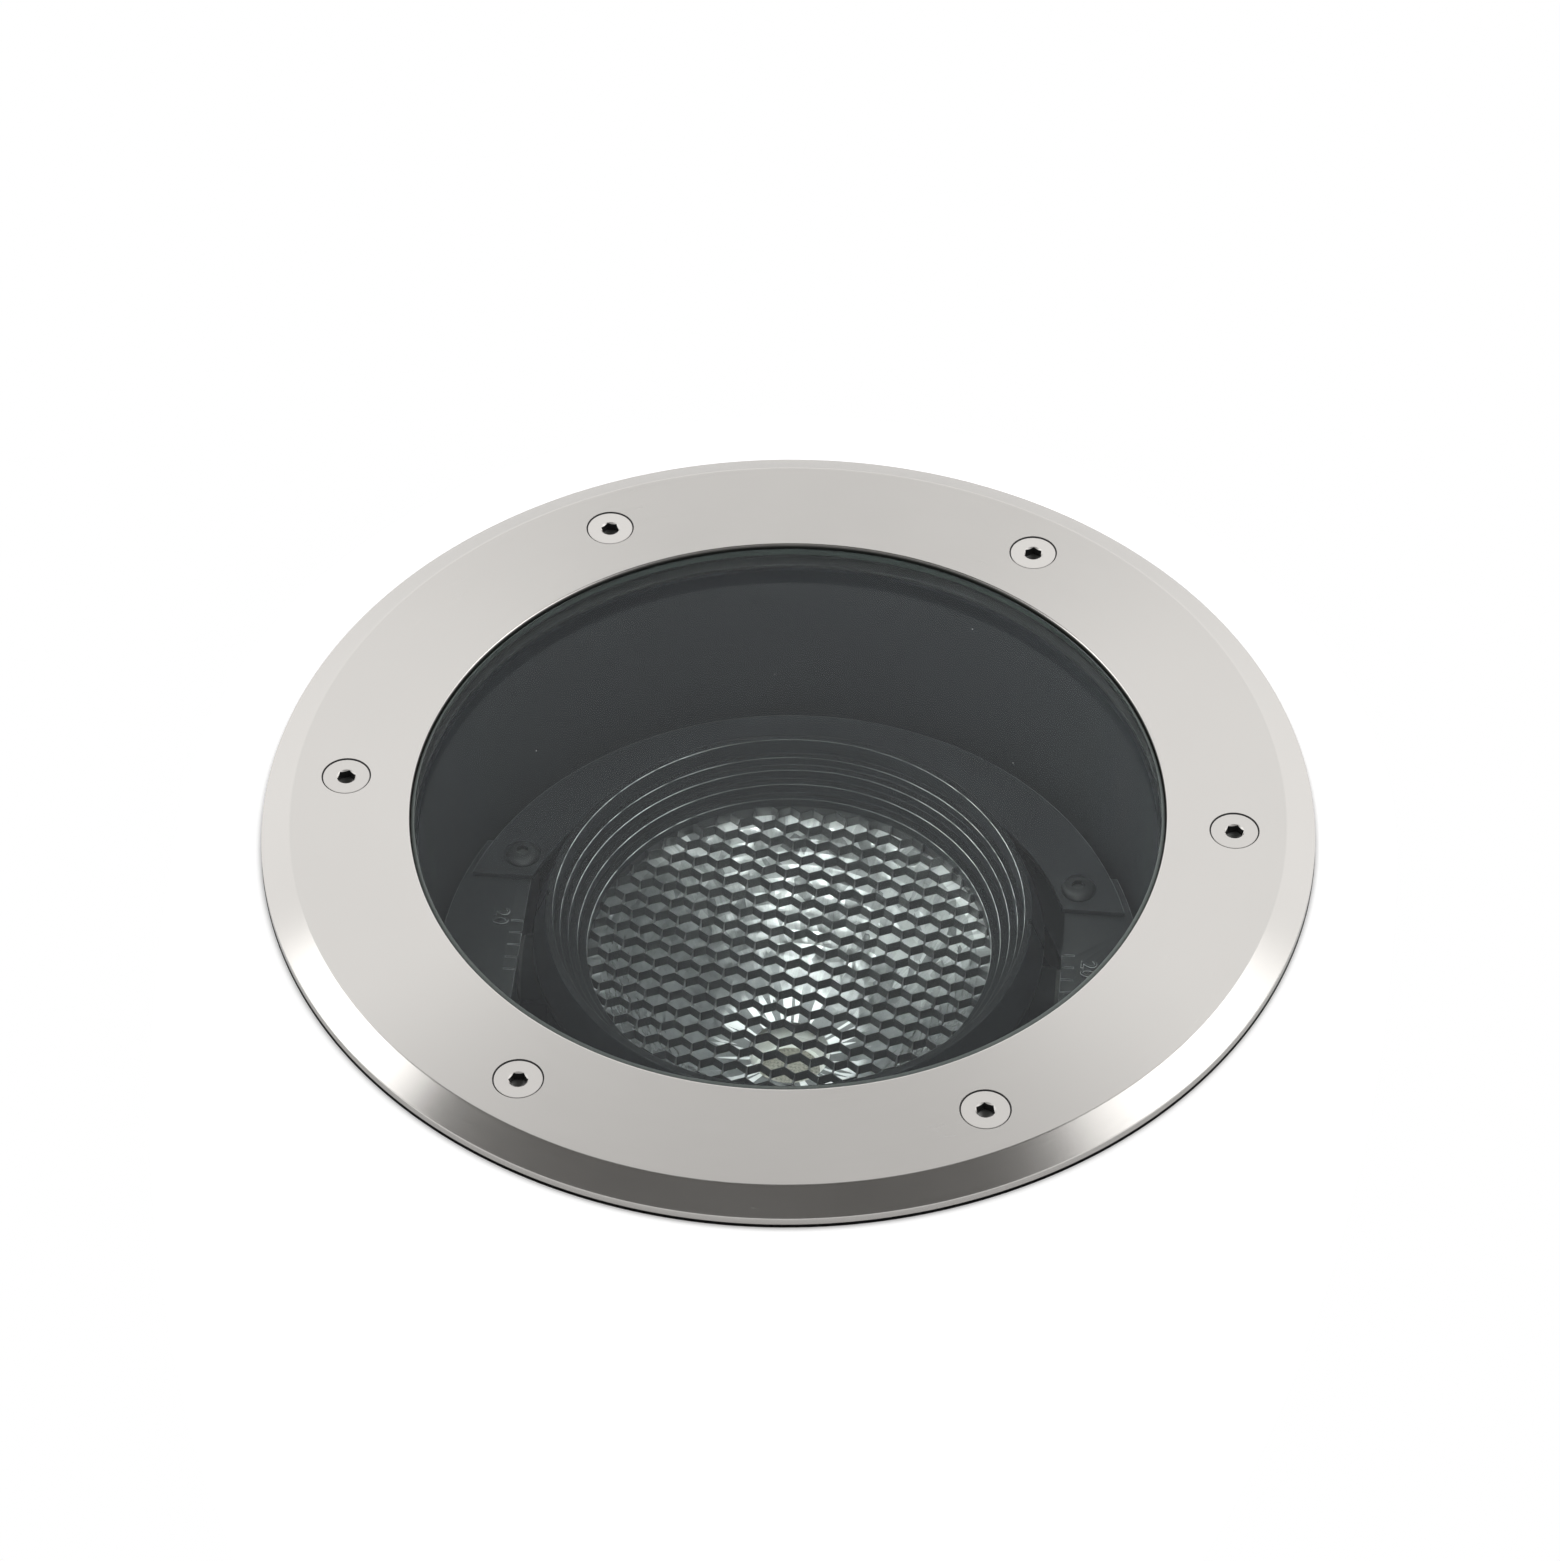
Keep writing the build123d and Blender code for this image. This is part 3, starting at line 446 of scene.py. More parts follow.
def ring_grain_steel(name, tint, rough):
    """Satin stainless steel, brushed round the axis, so its shine spreads across the grain."""
    material, board = finish(name)
    place = board.place()
    x, y, z = board.parts(place)
    radius = board.maths("SQRT", x * x + y * y)
    long_grain = board.noise(board.node("ShaderNodeCombineXYZ", None, {
        0: x / radius * 7, 1: y / radius * 7, 2: (radius - z) * 2400}), 1.0, 3.0, 0.6)
    fine_grain = board.noise(board.node("ShaderNodeCombineXYZ", None, {
        0: x / radius * 30, 1: y / radius * 30, 2: (radius - z) * 7000}), 1.0, 2.0, 0.5)
    cloud = board.noise(place, 26.0, 3.0, 0.55)
    lines = long_grain * 0.6 + fine_grain * 0.4
    light = board.clamp(0.5 + (cloud - 0.5) * 0.6 + (lines - 0.5) * 0.5)
    colour = board.mix(light, shaded(tint, 0.96), shaded(tint, 1.03))
    roughness = board.clamp(rough + (lines - 0.5) * 0.10 + (cloud - 0.5) * 0.05, 0.08, 0.8)
    normal = board.bump(lines, 0.3, 0.00001)
    board.surface(principled(board, Base_Color=colour, Metallic=1.0, Roughness=roughness, Normal=normal,
                             Anisotropic=0.85, Anisotropic_Rotation=0.25))
    return material


def brushed_steel(name, tint, rough, grain=1.0):
    """Satin stainless steel, brushed in one direction."""
    material, board = finish(name)
    place = board.place()
    long_grain = board.noise(board.stretched(place, (55, 2600, 700)), 1.0, 3.0, 0.6)
    fine_grain = board.noise(board.stretched(place, (160, 9000, 2500)), 1.0, 2.0, 0.5)
    cloud = board.noise(place, 26.0, 3.0, 0.55)
    lines = long_grain * 0.6 + fine_grain * 0.4
    light = board.clamp(0.5 + (cloud - 0.5) * 0.7 + (lines - 0.5) * 0.5)
    colour = board.mix(light, shaded(tint, 0.93), shaded(tint, 1.05))
    roughness = board.clamp(rough + (lines - 0.5) * 0.16 * grain + (cloud - 0.5) * 0.07, 0.08, 0.8)
    normal = board.bump(lines, 0.35 * grain, 0.00002)
    board.surface(principled(board, Base_Color=colour, Metallic=1.0, Roughness=roughness, Normal=normal))
    return material


def turned_steel(name, tint, rough):
    """Plated steel of small fasteners, with a fine grain."""
    material, board = finish(name)
    place = board.place()
    grain = board.noise(place, 2600.0, 3.0, 0.6)
    cloud = board.noise(place, 210.0, 2.0, 0.5)
    colour = board.mix(cloud, shaded(tint, 0.88), tint)
    normal = board.bump(grain, 0.25, 0.00002)
    board.surface(principled(board, Base_Color=colour, Metallic=1.0,
                             Roughness=board.clamp(rough + (grain - 0.5) * 0.15), Normal=normal))
    return material


def coated(name, colour, rough, peel=0.00003, peel_scale=900.0, dusty=0.0, metal=0.0, gloss=0.5):
    """Powder coat or moulded plastic: a colour that drifts a little, orange peel and a little dust."""
    material, board = finish(name)
    place = board.place()
    cloud = board.noise(place, 38.0, 3.0, 0.55)
    peel_height = board.noise(place, peel_scale, 2.0, 0.5)
    base = board.mix(cloud, shaded(colour, 0.86), shaded(colour, 1.12))
    roughness = board.clamp(rough + (cloud - 0.5) * 0.12 + (peel_height - 0.5) * 0.06)
    if dusty:
        specks = dust(board, place, 420.0, dusty)
        base = board.mix(specks, base, (0.5, 0.5, 0.48))
    normal = board.bump(peel_height, 0.5, peel)
    board.surface(principled(board, Base_Color=base, Metallic=metal, Roughness=roughness, Normal=normal,
                             Specular_IOR_Level=gloss))
    return material


def painted_edge_highlight(name, dull, bright):
    """Painted highlight on the thin edges of a turned coated part, lighter towards its left and right sides
    and its back, where the lights catch them.
    """
    material, board = finish(name)
    place = board.place()
    x, y, z = board.parts(place)
    side = board.maths("ABSOLUTE", x) / board.maths("SQRT", x * x + y * y)
    edge_noise = board.noise(place, 160.0, 3.0, 0.6)
    # painted highlight: the edges lighten towards the left and right sides and the back, broken up by noise
    highlight_share = board.ramp(side, 0.2, 0.95) * board.ramp(edge_noise, 0.3, 0.6) * board.ramp(y, -0.014, 0.008)
    colour = board.mix(highlight_share, dull, bright)
    board.surface(principled(board, Base_Color=colour, Roughness=0.4 + edge_noise * 0.2))
    return material


def clear_glass(name):
    """Clear toughened glass; light passes straight through it to what lies below."""
    material, board = finish(name)
    glass = principled(board, Base_Color=(0.93, 0.975, 0.955), Roughness=0.0, IOR=1.5,
                       Transmission_Weight=1.0, Specular_Tint=(0.20, 0.212, 0.228))
    clear = board.node("ShaderNodeBsdfTransparent", None, {"Color": (0.90, 0.95, 0.93)})
    board.surface(board.node("ShaderNodeMixShader", None, {0: board.ray("Is Shadow Ray"), 1: glass, 2: clear}))
    return material


def ground_glass(name, pale, dark):
    """The ground edge of the glass: green and matt, with small bright chips."""
    material, board = finish(name)
    place = board.place()
    grind = board.noise(place, 1500.0, 3.0, 0.6)
    colour = board.mix(grind, dark, pale)
    chips = dust(board, place, 900.0, 0.05)
    colour = board.mix(chips, colour, (0.6, 0.66, 0.63))
    normal = board.bump(grind, 0.4, 0.00003)
    board.surface(principled(board, Base_Color=colour, Roughness=0.5, IOR=1.5, Normal=normal))
    return material


def reflector_painted_reflections(name):
    """Bright anodised reflector sheet, with its reflections painted into the colour: lighter towards the back
    and the right, darker low in the cup, and painted glints round the chip.
    """
    material, board = finish(name)
    place = board.place()
    ripple = board.noise(place, 140.0, 2.0, 0.5)
    x, y, z = board.parts(place)
    radius = board.maths("SQRT", x * x + y * y)
    around = board.node("ShaderNodeCombineXYZ", None, {0: x / radius * 9, 1: y / radius * 9, 2: z * 210})
    shards = board.parts(board.cells(around, 1.3, out="Color"))
    streak = board.noise(board.stretched(around, (6, 6, 0.5)), 1.0, 2.0, 0.6)
    # painted reflection: lighter towards the back and right, darker low in the cup, with painted glints round
    # the chip
    painted_light_towards_back = board.ramp(y + x * 0.35, 0.008, 0.040)
    painted_glints_near_chip = board.maths("GREATER_THAN", shards[1], 0.62) * (1 - board.ramp(radius, 0.016, 0.022))
    painted_shade_low_in_cup = 0.35 + 0.65 * board.ramp(radius, 0.022, 0.036)
    bright = board.clamp(painted_light_towards_back * painted_shade_low_in_cup * (0.12 + shards[0] * 1.25) + painted_glints_near_chip)
    bright = board.clamp(bright * (0.5 + streak) + 0.03 + streak * 0.06)
    colour = board.mix(bright, (0.11, 0.115, 0.12), (0.88, 0.89, 0.90))
    crease = board.noise(place, 380.0, 1.0, 0.5)
    normal = board.bump(ripple, 0.5, 0.0006, board.bump(crease, 0.6, 0.0005))
    board.surface(principled(board, Base_Color=colour, Metallic=0.5,
                             Roughness=0.2 + ripple * 0.1, Normal=normal))
    return material


def phosphor(name):
    """The yellow chip field under its silicone."""
    material, board = finish(name)
    place = board.place()
    grain = board.noise(place, 2400.0, 2.0, 0.5)
    dots = board.cells(place, 900.0, randomness=0.2)
    mottle = board.ramp(grain * 0.7 + dots * 0.3, 0.25, 0.6)
    colour = board.mix(mottle, (0.10, 0.095, 0.075), (0.29, 0.275, 0.235))
    normal = board.bump(grain, 0.3, 0.00003)
    board.surface(principled(board, Base_Color=colour, Roughness=0.42, Normal=normal,
                             Coat_Weight=0.6, Coat_Roughness=0.15))
    return material


FINISHES = {}


def make_finishes():
    """All finishes, by a maker's plain names; coated ones give colour, roughness, peel depth and its scale."""
    look = bpy.context.scene.uplight_look
    steel = tuple(look.steel_colour)
    coat = tuple(look.coat_colour)
    FINISHES.update({
        "brushed stainless": ring_grain_steel("brushed_stainless", steel, look.steel_roughness),
        # bezel steel darkened to paint the shade on the bore beside the glass
        "bore shade": brushed_steel("bore_shaded_stainless", shaded(steel, 0.22), 0.4),
        # bezel steel darkened to paint the shade on the outer rim
        "rim": ring_grain_steel("rim_shaded_stainless", shaded(steel, 0.70), look.steel_roughness),
        "screw steel": brushed_steel("screw_stainless", shaded(steel, 1.10), 0.3, 0.6),
        "plated steel": turned_steel("plated_steel", (0.60, 0.60, 0.59), 0.32),
        "brass": turned_steel("plated_brass", (0.80, 0.62, 0.30), 0.3),
        "glass": clear_glass("clear_glass"),
        "ground arris": ground_glass("ground_arris", (0.34, 0.38, 0.365), (0.16, 0.19, 0.18)),
        "ground edge": ground_glass("ground_edge", (0.045, 0.062, 0.056), (0.022, 0.032, 0.029)),
        # near black painted as the shade in the countersinks and the screw sockets
        "painted groove shade": coated("painted_groove_shade", (0.012, 0.012, 0.012), 0.6),
        "blackened": coated("blackened_steel", (0.010, 0.010, 0.011), 0.45, 0.000002, 700.0, gloss=0.2),
        "silicone": coated("black_silicone", (0.012, 0.012, 0.013), 0.55, 0.00002, 1400.0),
        "powder coat": coated("powder_coat", coat, 0.45, 0.000002, 500.0, 0.004, gloss=0.2),
        "head coat": coated("head_coat", shaded(coat, 0.9), 0.4, 0.000002, 700.0, 0.004, gloss=0.2),
        "painted edge highlight": painted_edge_highlight("painted_edge_highlight", (0.03, 0.031, 0.032), (0.60, 0.61, 0.62)),
        # lighter grey painted on bevels as an edge sheen
        "painted edge sheen": coated("painted_edge_sheen", (0.16, 0.165, 0.17), 0.45, 0.000002, 700.0, gloss=0.3),
        # matt black of the head shell, also painted on the baffle's treads as shade so that faces looking up
        # are as dark as the walls
        "matt black": coated("matt_black_tread_shade", shaded(coat, 0.4), 0.6, 0.000002, 700.0, gloss=0.08),
        "moulded black": coated("moulded_black", (0.022, 0.022, 0.024), 0.45, 0.00003, 1200.0),
        "moulded white": coated("moulded_white", (0.78, 0.78, 0.75), 0.4, 0.00003, 1000.0),
        "moulded grey": coated("moulded_grey", (0.42, 0.44, 0.45), 0.45, 0.00003, 1000.0),
        "black anodised": coated("black_anodised", (0.035, 0.035, 0.038), 0.38, 0.00002, 2400.0, metal=0.6),
        "foil": coated("black_foil", (0.022, 0.022, 0.023), 0.35, 0.000006, 1500.0, metal=0.3),
        "sheet aluminium": brushed_steel("sheet_aluminium", (0.72, 0.73, 0.74), 0.36, 0.8),
        "bright sheet": reflector_painted_reflections("reflector_painted_reflections"),
        "phosphor": phosphor("phosphor_field"),
        "ceramic": coated("board_ceramic", (0.82, 0.82, 0.80), 0.35, 0.00001, 2000.0),
        "heat pad": coated("heat_pad", (0.30, 0.32, 0.36), 0.7, 0.00003, 1500.0),
        "slide plastic": coated("slide_plastic", (0.80, 0.79, 0.74), 0.3, 0.00001, 1400.0),
        "friction liner": coated("friction_liner", (0.016, 0.015, 0.014), 0.8, 0.00005, 2200.0),
    })


CARRIED = {
    "blackened": ["pivot_screws"],
    "plated steel": ["pan_stop_pin", "bracket_screws", "yoke_spring_ring",
                     "reflector_snap_ring", "led_holder_screws", "heat_sink_screws", "earth_screw"],
    "brass": ["terminal_screws"],
    "matt black": ["head_shell"],
    "moulded black": ["gland_body", "gland_lock_nut", "gland_cap"],
    "silicone": ["gland_washer", "gland_seal"],
    "moulded white": ["driver", "led_holder"],
    "moulded grey": ["terminal_block"],
    "sheet aluminium": ["driver_bracket"],
    "slide plastic": ["glide_ring"],
    "friction liner": ["friction_washers"],
    "heat pad": ["thermal_pad"],
    "black anodised": ["heat_sink"],
}


# Settings

class UplightLook(bpy.types.PropertyGroup):
    """Sizes and colours of the dressed uplight."""

    steel_colour: FloatVectorProperty(
        name="Steel colour", description="Colour of the brushed stainless bezel",
        subtype="COLOR", size=3, min=0, max=1, default=(0.665, 0.645, 0.620))
    steel_roughness: FloatProperty(
        name="Steel roughness", description="How satin the bezel is", subtype="FACTOR",
        min=0, max=1, default=0.25)
    coat_colour: FloatVectorProperty(
        name="Coat colour", description="Colour of the pot, the yoke and the lamp head",
        subtype="COLOR", size=3, min=0, max=1, default=(0.0092, 0.0098, 0.0114))
    edge_ease: FloatProperty(
        name="Edge ease", description="Radius of the bezel's eased corners",
        unit="LENGTH", min=0, default=0.00025)
    countersink_radius: FloatProperty(
        name="Countersink radius", description="Radius of the countersinks in the bezel's top",
        unit="LENGTH", min=0, default=0.00615)
    head_radius: FloatProperty(
        name="Screw head radius", description="Radius of the cover screws' heads",
        unit="LENGTH", min=0, default=0.00580)
    socket_flats: FloatProperty(
        name="Socket flats", description="Width over flats of the screws' sockets",
        unit="LENGTH", min=0, default=0.0041)
    glass_arris: FloatProperty(
        name="Glass arris", description="Width of the ground arris round the glass",
        unit="LENGTH", min=0, default=0.0009)
    foil_thickness: FloatProperty(
        name="Foil thickness", description="Thickness of the louver's foil",
        unit="LENGTH", min=0, default=0.00013)
    louver_depth: FloatProperty(
        name="Louver depth", description="Depth of the louver's cells",
        unit="LENGTH", min=0, default=0.00305)
    facet_turns: IntProperty(
        name="Facets around", description="Facets in one band of the reflector", min=6, default=48)
    facet_bands: IntProperty(
        name="Facet bands", description="Bands of facets in the reflector", min=2, default=14)
    numeral_height: FloatProperty(
        name="Numeral height", description="Height of the tilt scale's raised numerals",
        unit="LENGTH", min=0, default=0.0040)


class UplightStudio(bpy.types.PropertyGroup):
    """The floor, the lamps and the camera."""

    floor_radius: FloatProperty(
        name="Floor radius", description="Outer radius of the piece of floor at the sides and the back",
        unit="LENGTH", min=0.131, default=0.150)
    floor_reach: FloatProperty(
        name="Floor reach", description="How far the floor comes forward, where it hides the pot",
        unit="LENGTH", min=0.131, default=0.310)
    floor_drop: FloatProperty(
        name="Floor drop", description="How far the floor's top lies under the bezel's underside",
        unit="LENGTH", min=0, default=0.00045)
    softbox_level: FloatProperty(
        name="Softbox level", description="How bright a softbox's face is", min=0, default=1.9)
    lens: FloatProperty(
        name="Lens", description="Focal length of the camera in millimetres", min=1, default=123.15)


# Operators

class UPLIGHT_OT_finishes(bpy.types.Operator):
    """Makes every finish and puts it on the CAD nodes that stay in view"""
    bl_idname = "uplight.finishes"
    bl_label = "Finishes"

    def execute(self, context):
        make_finishes()
        for name, nodes in CARRIED.items():
            for node in nodes:
                mesh = NODES[node].data
                mesh.materials.clear()
                mesh.materials.append(FINISHES[name])
        return {"FINISHED"}


class UPLIGHT_OT_bezel(bpy.types.Operator):
    """The stainless bezel ring with its sloped edge and countersinks"""
    bl_idname = "uplight.bezel"
    bl_label = "Bezel ring"

    def execute(self, context):
        look = context.scene.uplight_look
        ring = turned_mesh("bezel_ring_turned", eased(outline_mm([
            (93.6, 0), (119.5, 0), (119.5, 0.6), (121.3, 0.6), (121.3, 0), (129.6, 0), (130.0, 0.4),
            (130.0, 2.4), (122.8, 6.0), (93.6, 6.0), (93.2, 5.6), (93.2, 0.4),
        ]), look.edge_ease), 480)
        sink = look.countersink_radius
        hole, past = 3.3 * MM, 0.002
        cone = turned_mesh("countersink", [
            (0, -past), (hole, -past), (hole, BEZEL_TOP - sink + hole), (sink, BEZEL_TOP),
            (sink, BEZEL_TOP + past), (0, BEZEL_TOP + past)], 64)
        ring = cut_by(ring, in_screw_holes("countersinks", cone))
        stand_in("bezel_ring_turned", ring, "bezel_ring", "pot",
                 ["brushed stainless", "painted groove shade", "bore shade", "rim"], 20)
        holes = [Vector((x, y, 0)) for x, y in polygon(6, SCREW_CIRCLE)]
        # painted shade on the outer rim
        paint(ring, 3, lambda c, n: off_axis(c) > 0.1297 and n.z < 0.5)
        # painted shade on the bore
        paint(ring, 2, lambda c, n: off_axis(c) < 0.0934 and n.z < 0.93)
        # painted shade in the countersinks
        paint(ring, 1, lambda c, n: c.z < BEZEL_TOP - 0.00001
              and min(off_axis(c - hole) for hole in holes) < sink + 0.0001)
        return {"FINISHED"}


class UPLIGHT_OT_bezel_screws(bpy.types.Operator):
    """The six countersunk socket screws of the bezel"""
    bl_idname = "uplight.bezel_screws"
    bl_label = "Bezel screws"

    def execute(self, context):
        look = context.scene.uplight_look
        head, shank = look.head_radius, 0.0030
        top = BEZEL_TOP - 0.00022
        foot = top - 0.022
        screw = turned_mesh("screw", eased([
            (0, foot), (0.0026, foot), (shank, foot + 0.0005), (shank, top - 0.0031),
            (head, top - 0.0003), (head, top), (0, top)], 0.00014), 72)
        corner = look.socket_flats / math.sqrt(3)
        socket = prism_mesh("socket", polygon(6, corner, math.radians(12)), top - 0.0024, top + 0.001)
        lead = turned_mesh("lead", [
            (0, top - 0.00035), (corner * 0.86, top - 0.00035), (corner * 1.12, top + 0.0002),
            (0, top + 0.0002)], 48)
        point = turned_mesh("point", [(0, top - 0.0031), (corner * 0.85, top - 0.0023), (0, top - 0.0023)], 48)
        for tool in (socket, lead, point):
            screw = cut_by(screw, tool)
        mesh = in_screw_holes("bezel_screw_set", screw, (0, 17, 41, 8, 52, 29))
        stand_in("bezel_screw_set", mesh, "bezel_screws", "pot",
                 ["screw steel", "painted groove shade", "plated steel"], 28)
        # painted shade in the sockets and under the heads
        paint(mesh, 1, lambda c, n: c.z < top - 0.0004 or (n.z < 0.5 and c.z < top - 0.0002))
        paint(mesh, 2, lambda c, n: n.z > 0.3 and top - 0.0032 < c.z < top - 0.0020)
        return {"FINISHED"}


class UPLIGHT_OT_glass(bpy.types.Operator):
    """The stepped walk-over glass with its ground arris, and the gasket round it"""
    bl_idname = "uplight.glass"
    bl_label = "Glass and gasket"

    def execute(self, context):
        look = context.scene.uplight_look
        arris = look.glass_arris
        step = GLASS_BOTTOM + 0.005
        edge, flange, bevel = 0.09305, 0.0985, 0.0006
        glass = turned_mesh("glass_lens_ground", [
            (0, GLASS_BOTTOM), (flange - bevel, GLASS_BOTTOM), (flange, GLASS_BOTTOM + bevel), (flange, step),
            (edge, step), (edge, GLASS_TOP - arris), (edge - arris, GLASS_TOP), (0, GLASS_TOP)], 360)
        stand_in("glass_lens_ground", glass, "glass_lens", "pot", ["glass", "ground arris", "ground edge"], 25)
        paint(glass, 2, lambda c, n: off_axis(c) > edge - 0.0002)
        paint(glass, 1, lambda c, n: off_axis(c) > edge - arris and n.z > 0.3 and c.z > GLASS_TOP - arris)
        clear, inner, lip, outer = 0.00006, 0.0926, 0.0928, 0.1000
        gasket = turned_mesh("gasket_moulded", eased([
            (inner, GLASS_BOTTOM - 0.001), (outer, GLASS_BOTTOM - 0.001), (outer, -0.00002),
            (lip, -0.00002), (lip, step + clear), (flange + clear, step + clear),
            (flange + clear, GLASS_BOTTOM - clear), (inner, GLASS_BOTTOM - clear)], 0.0002, 2), 300)
        stand_in("gasket_moulded", gasket, "glass_gasket", "pot", ["silicone"])
        return {"FINISHED"}


class UPLIGHT_OT_pot(bpy.types.Operator):
    """Puts the powder coat on the die-cast pot, with its bosses, gussets and ribs"""
    bl_idname = "uplight.pot"
    bl_label = "Pot"

    def execute(self, context):
        mesh = NODES["housing"].data
        mesh.materials.clear()
        mesh.materials.append(FINISHES["powder coat"])
        return {"FINISHED"}


class UPLIGHT_OT_yoke(bpy.types.Operator):
    """The yoke's finish, its cover plate, and the raised numerals of the tilt scale"""
    bl_idname = "uplight.yoke"
    bl_label = "Yoke"

    def execute(self, context):
        look = context.scene.uplight_look
        marks = [bevelled(node_mesh("yoke_ring"), 0.0004)]
        for x, y in ((0.0758, 0.0040), (-0.0752, 0.0094)):
            mark = numeral_mesh("20", look.numeral_height, 0.0005)
            marks.append(placed(mark, Matrix.Translation((x, y, EAR_TOP)) @ turn_z(-90)))
        ring = joined("yoke_cast", marks)
        stand_in("yoke_cast", ring, "yoke_ring", "yoke", ["head coat", "painted edge sheen", "painted edge highlight"], 20)
        # painted edge sheen on the yoke's bevels by the ears
        paint(ring, 1, lambda c, n: 0.3 < n.z < 0.95 and c.z > EAR_TOP - 0.0006)
        # painted highlight on the sides and bevels of the raised numerals
        paint(ring, 2, lambda c, n: n.z < 0.95 and c.z > EAR_TOP + 0.00002)
        plate = bevelled(node_mesh("yoke_cover_plate"), 0.0003)
        stand_in("yoke_cover_sheet", plate, "yoke_cover_plate", "yoke", ["powder coat", "painted edge sheen"], 20)
        # painted edge sheen on the plate's bevelled edges
        paint(plate, 1, lambda c, n: 0.3 < n.z < 0.95 and off_axis(c) > 0.08)
        self.screws()
        return {"FINISHED"}

    def screws(self):
        """The two button-head screws in the plate's ends."""
        head, tip = high("cover_plate_screws").z, low("cover_plate_screws").z
        radius, shank = 0.0045, 0.0020
        screw = turned_mesh("button", [
            (0, tip), (0.0016, tip), (shank, tip + 0.0004), (shank, PLATE_TOP), (radius, PLATE_TOP),
            (radius, PLATE_TOP + 0.0004), (radius * 0.93, PLATE_TOP + 0.0009),
            (radius * 0.72, head - 0.0002), (radius * 0.5, head), (0, head)], 48)
        corner = 0.0030 / math.sqrt(3)
        screw = cut_by(screw, prism_mesh("socket", polygon(6, corner), head - 0.0013, head + 0.001))
        places = [Vector((side * PLATE_SCREW_X, PLATE_SCREW_Y, 0)) for side in (1, -1)]
        other = screw.copy()
        mesh = joined("cover_button_screws", [
            placed(copy, Matrix.Translation(place) @ turn_z(turn))
            for copy, place, turn in zip((screw, other), places, (10, 37))])
        stand_in("cover_button_screws", mesh, "cover_plate_screws", "yoke", ["blackened", "painted groove shade"])
        # painted shade in the sockets
        paint(mesh, 1, lambda c, n: PLATE_TOP + 0.0002 < c.z < head - 0.0003
              and min(off_axis(c - place) for place in places) < corner)


class UPLIGHT_OT_baffle(bpy.types.Operator):
    """The lamp head's stepped baffle ring"""
    bl_idname = "uplight.baffle"
    bl_label = "Baffle ring"

    def execute(self, context):
        lip, lip_z, flank, fall = 59.4, -36.9, 61.3, 9.2
        points = [(lip, lip_z), (flank, lip_z), (64.6, lip_z - fall), (64.6, -48.0), (57.95, -48.0),
                  (57.95, -61.3), (52.6, -61.3), (52.6, -58.9), (53.5, -58.9), (53.5, -57.7),
                  (52.6, -57.7), (52.6, -53.4), (51.2, -53.4)]
        radii, drops = (57.7, 55.7, 53.5, 51.2), (4.9, 7.5, 10.5, 13.6)
        for radius, drop, wider in reversed(list(zip(radii, drops, (lip, *radii)))):
            points += [(radius, lip_z - drop), (wider, lip_z - drop)]
        mesh = turned_mesh("baffle_turned", eased(outline_mm(points), 0.00018), 360)
        lean = math.atan((64.6 - flank) / fall)
        for side in (1, -1):
            notch = prism_mesh("notch", rectangle(0.0008, 0.0005), -0.0096, 0.0096)
            on_flank = Matrix.Translation((side * flank * MM, 0, lip_z * MM))
            mesh = cut_by(mesh, placed(notch, on_flank @ Matrix.Rotation(-side * lean, 4, "Y")))
        stand_in("baffle_turned", mesh, "baffle_ring", "head", ["head coat", "painted edge highlight", "matt black"], 30)
        # painted shade: the faces that look up get the darker matt coat
        paint(mesh, 2, lambda c, n: n.z > 0.9 and c.z > -0.052)
        edges = [(r * MM, LIP_TOP - drop * MM) for r, drop in zip((lip, *radii), (0, *drops))]
        # painted highlight lines on the convex corners of the steps
        paint(mesh, 1, lambda c, n: 0.1 < n.z < 0.97
              and min(math.hypot(off_axis(c) - r, c.z - z) for r, z in edges) < 0.00016)
        return {"FINISHED"}


class UPLIGHT_OT_louver(bpy.types.Operator):
    """The honeycomb louver of thin foil in its rim"""
    bl_idname = "uplight.louver"
    bl_label = "Honeycomb louver"

    def execute(self, context):
        look = context.scene.uplight_look
        pitch, turn, reach = 6.02 * MM, -5.5, 11
        top, foot = high("louver").z, low("louver").z
        depth, inner, outer = look.louver_depth, 0.0517, high("louver").x
        side = pitch / math.sqrt(3)
        edges = set()
        for row in range(-reach, reach + 1):
            for column in range(-reach, reach + 1):
                x = pitch * (column + (row % 2) / 2)
                y = pitch * row * math.sqrt(3) / 2
                corners = [(x + v, y + u) for u, v in polygon(6, side)]
                for k in range(6):
                    ends = sorted((round(px, 6), round(py, 6)) for px, py in (corners[k], corners[k - 1]))
                    edges.add(tuple(ends))
        walls = []
        for ends in sorted(edges):
            a, b = sorted((Vector(end) for end in ends), key=lambda end: end.length)
            if a.length >= inner:
                continue
            while b.length > inner + 0.0003:
                b = a.lerp(b, 0.94)
            across = Vector((a.y - b.y, b.x - a.x)).normalized() * look.foil_thickness / 2
            plan = [tuple(end) for end in (a - across, b - across, b + across, a + across)]
            walls.append(prism_mesh("wall", plan, top - depth, top))
        comb = placed(joined("comb", walls), turn_z(turn))
        rim = turned_mesh("rim", [(inner, foot), (outer, foot), (outer, top), (inner, top)], 180)
        stand_in("louver_foil", joined("louver_foil", [comb, rim]), "louver", "head", ["foil"], 20)
        return {"FINISHED"}


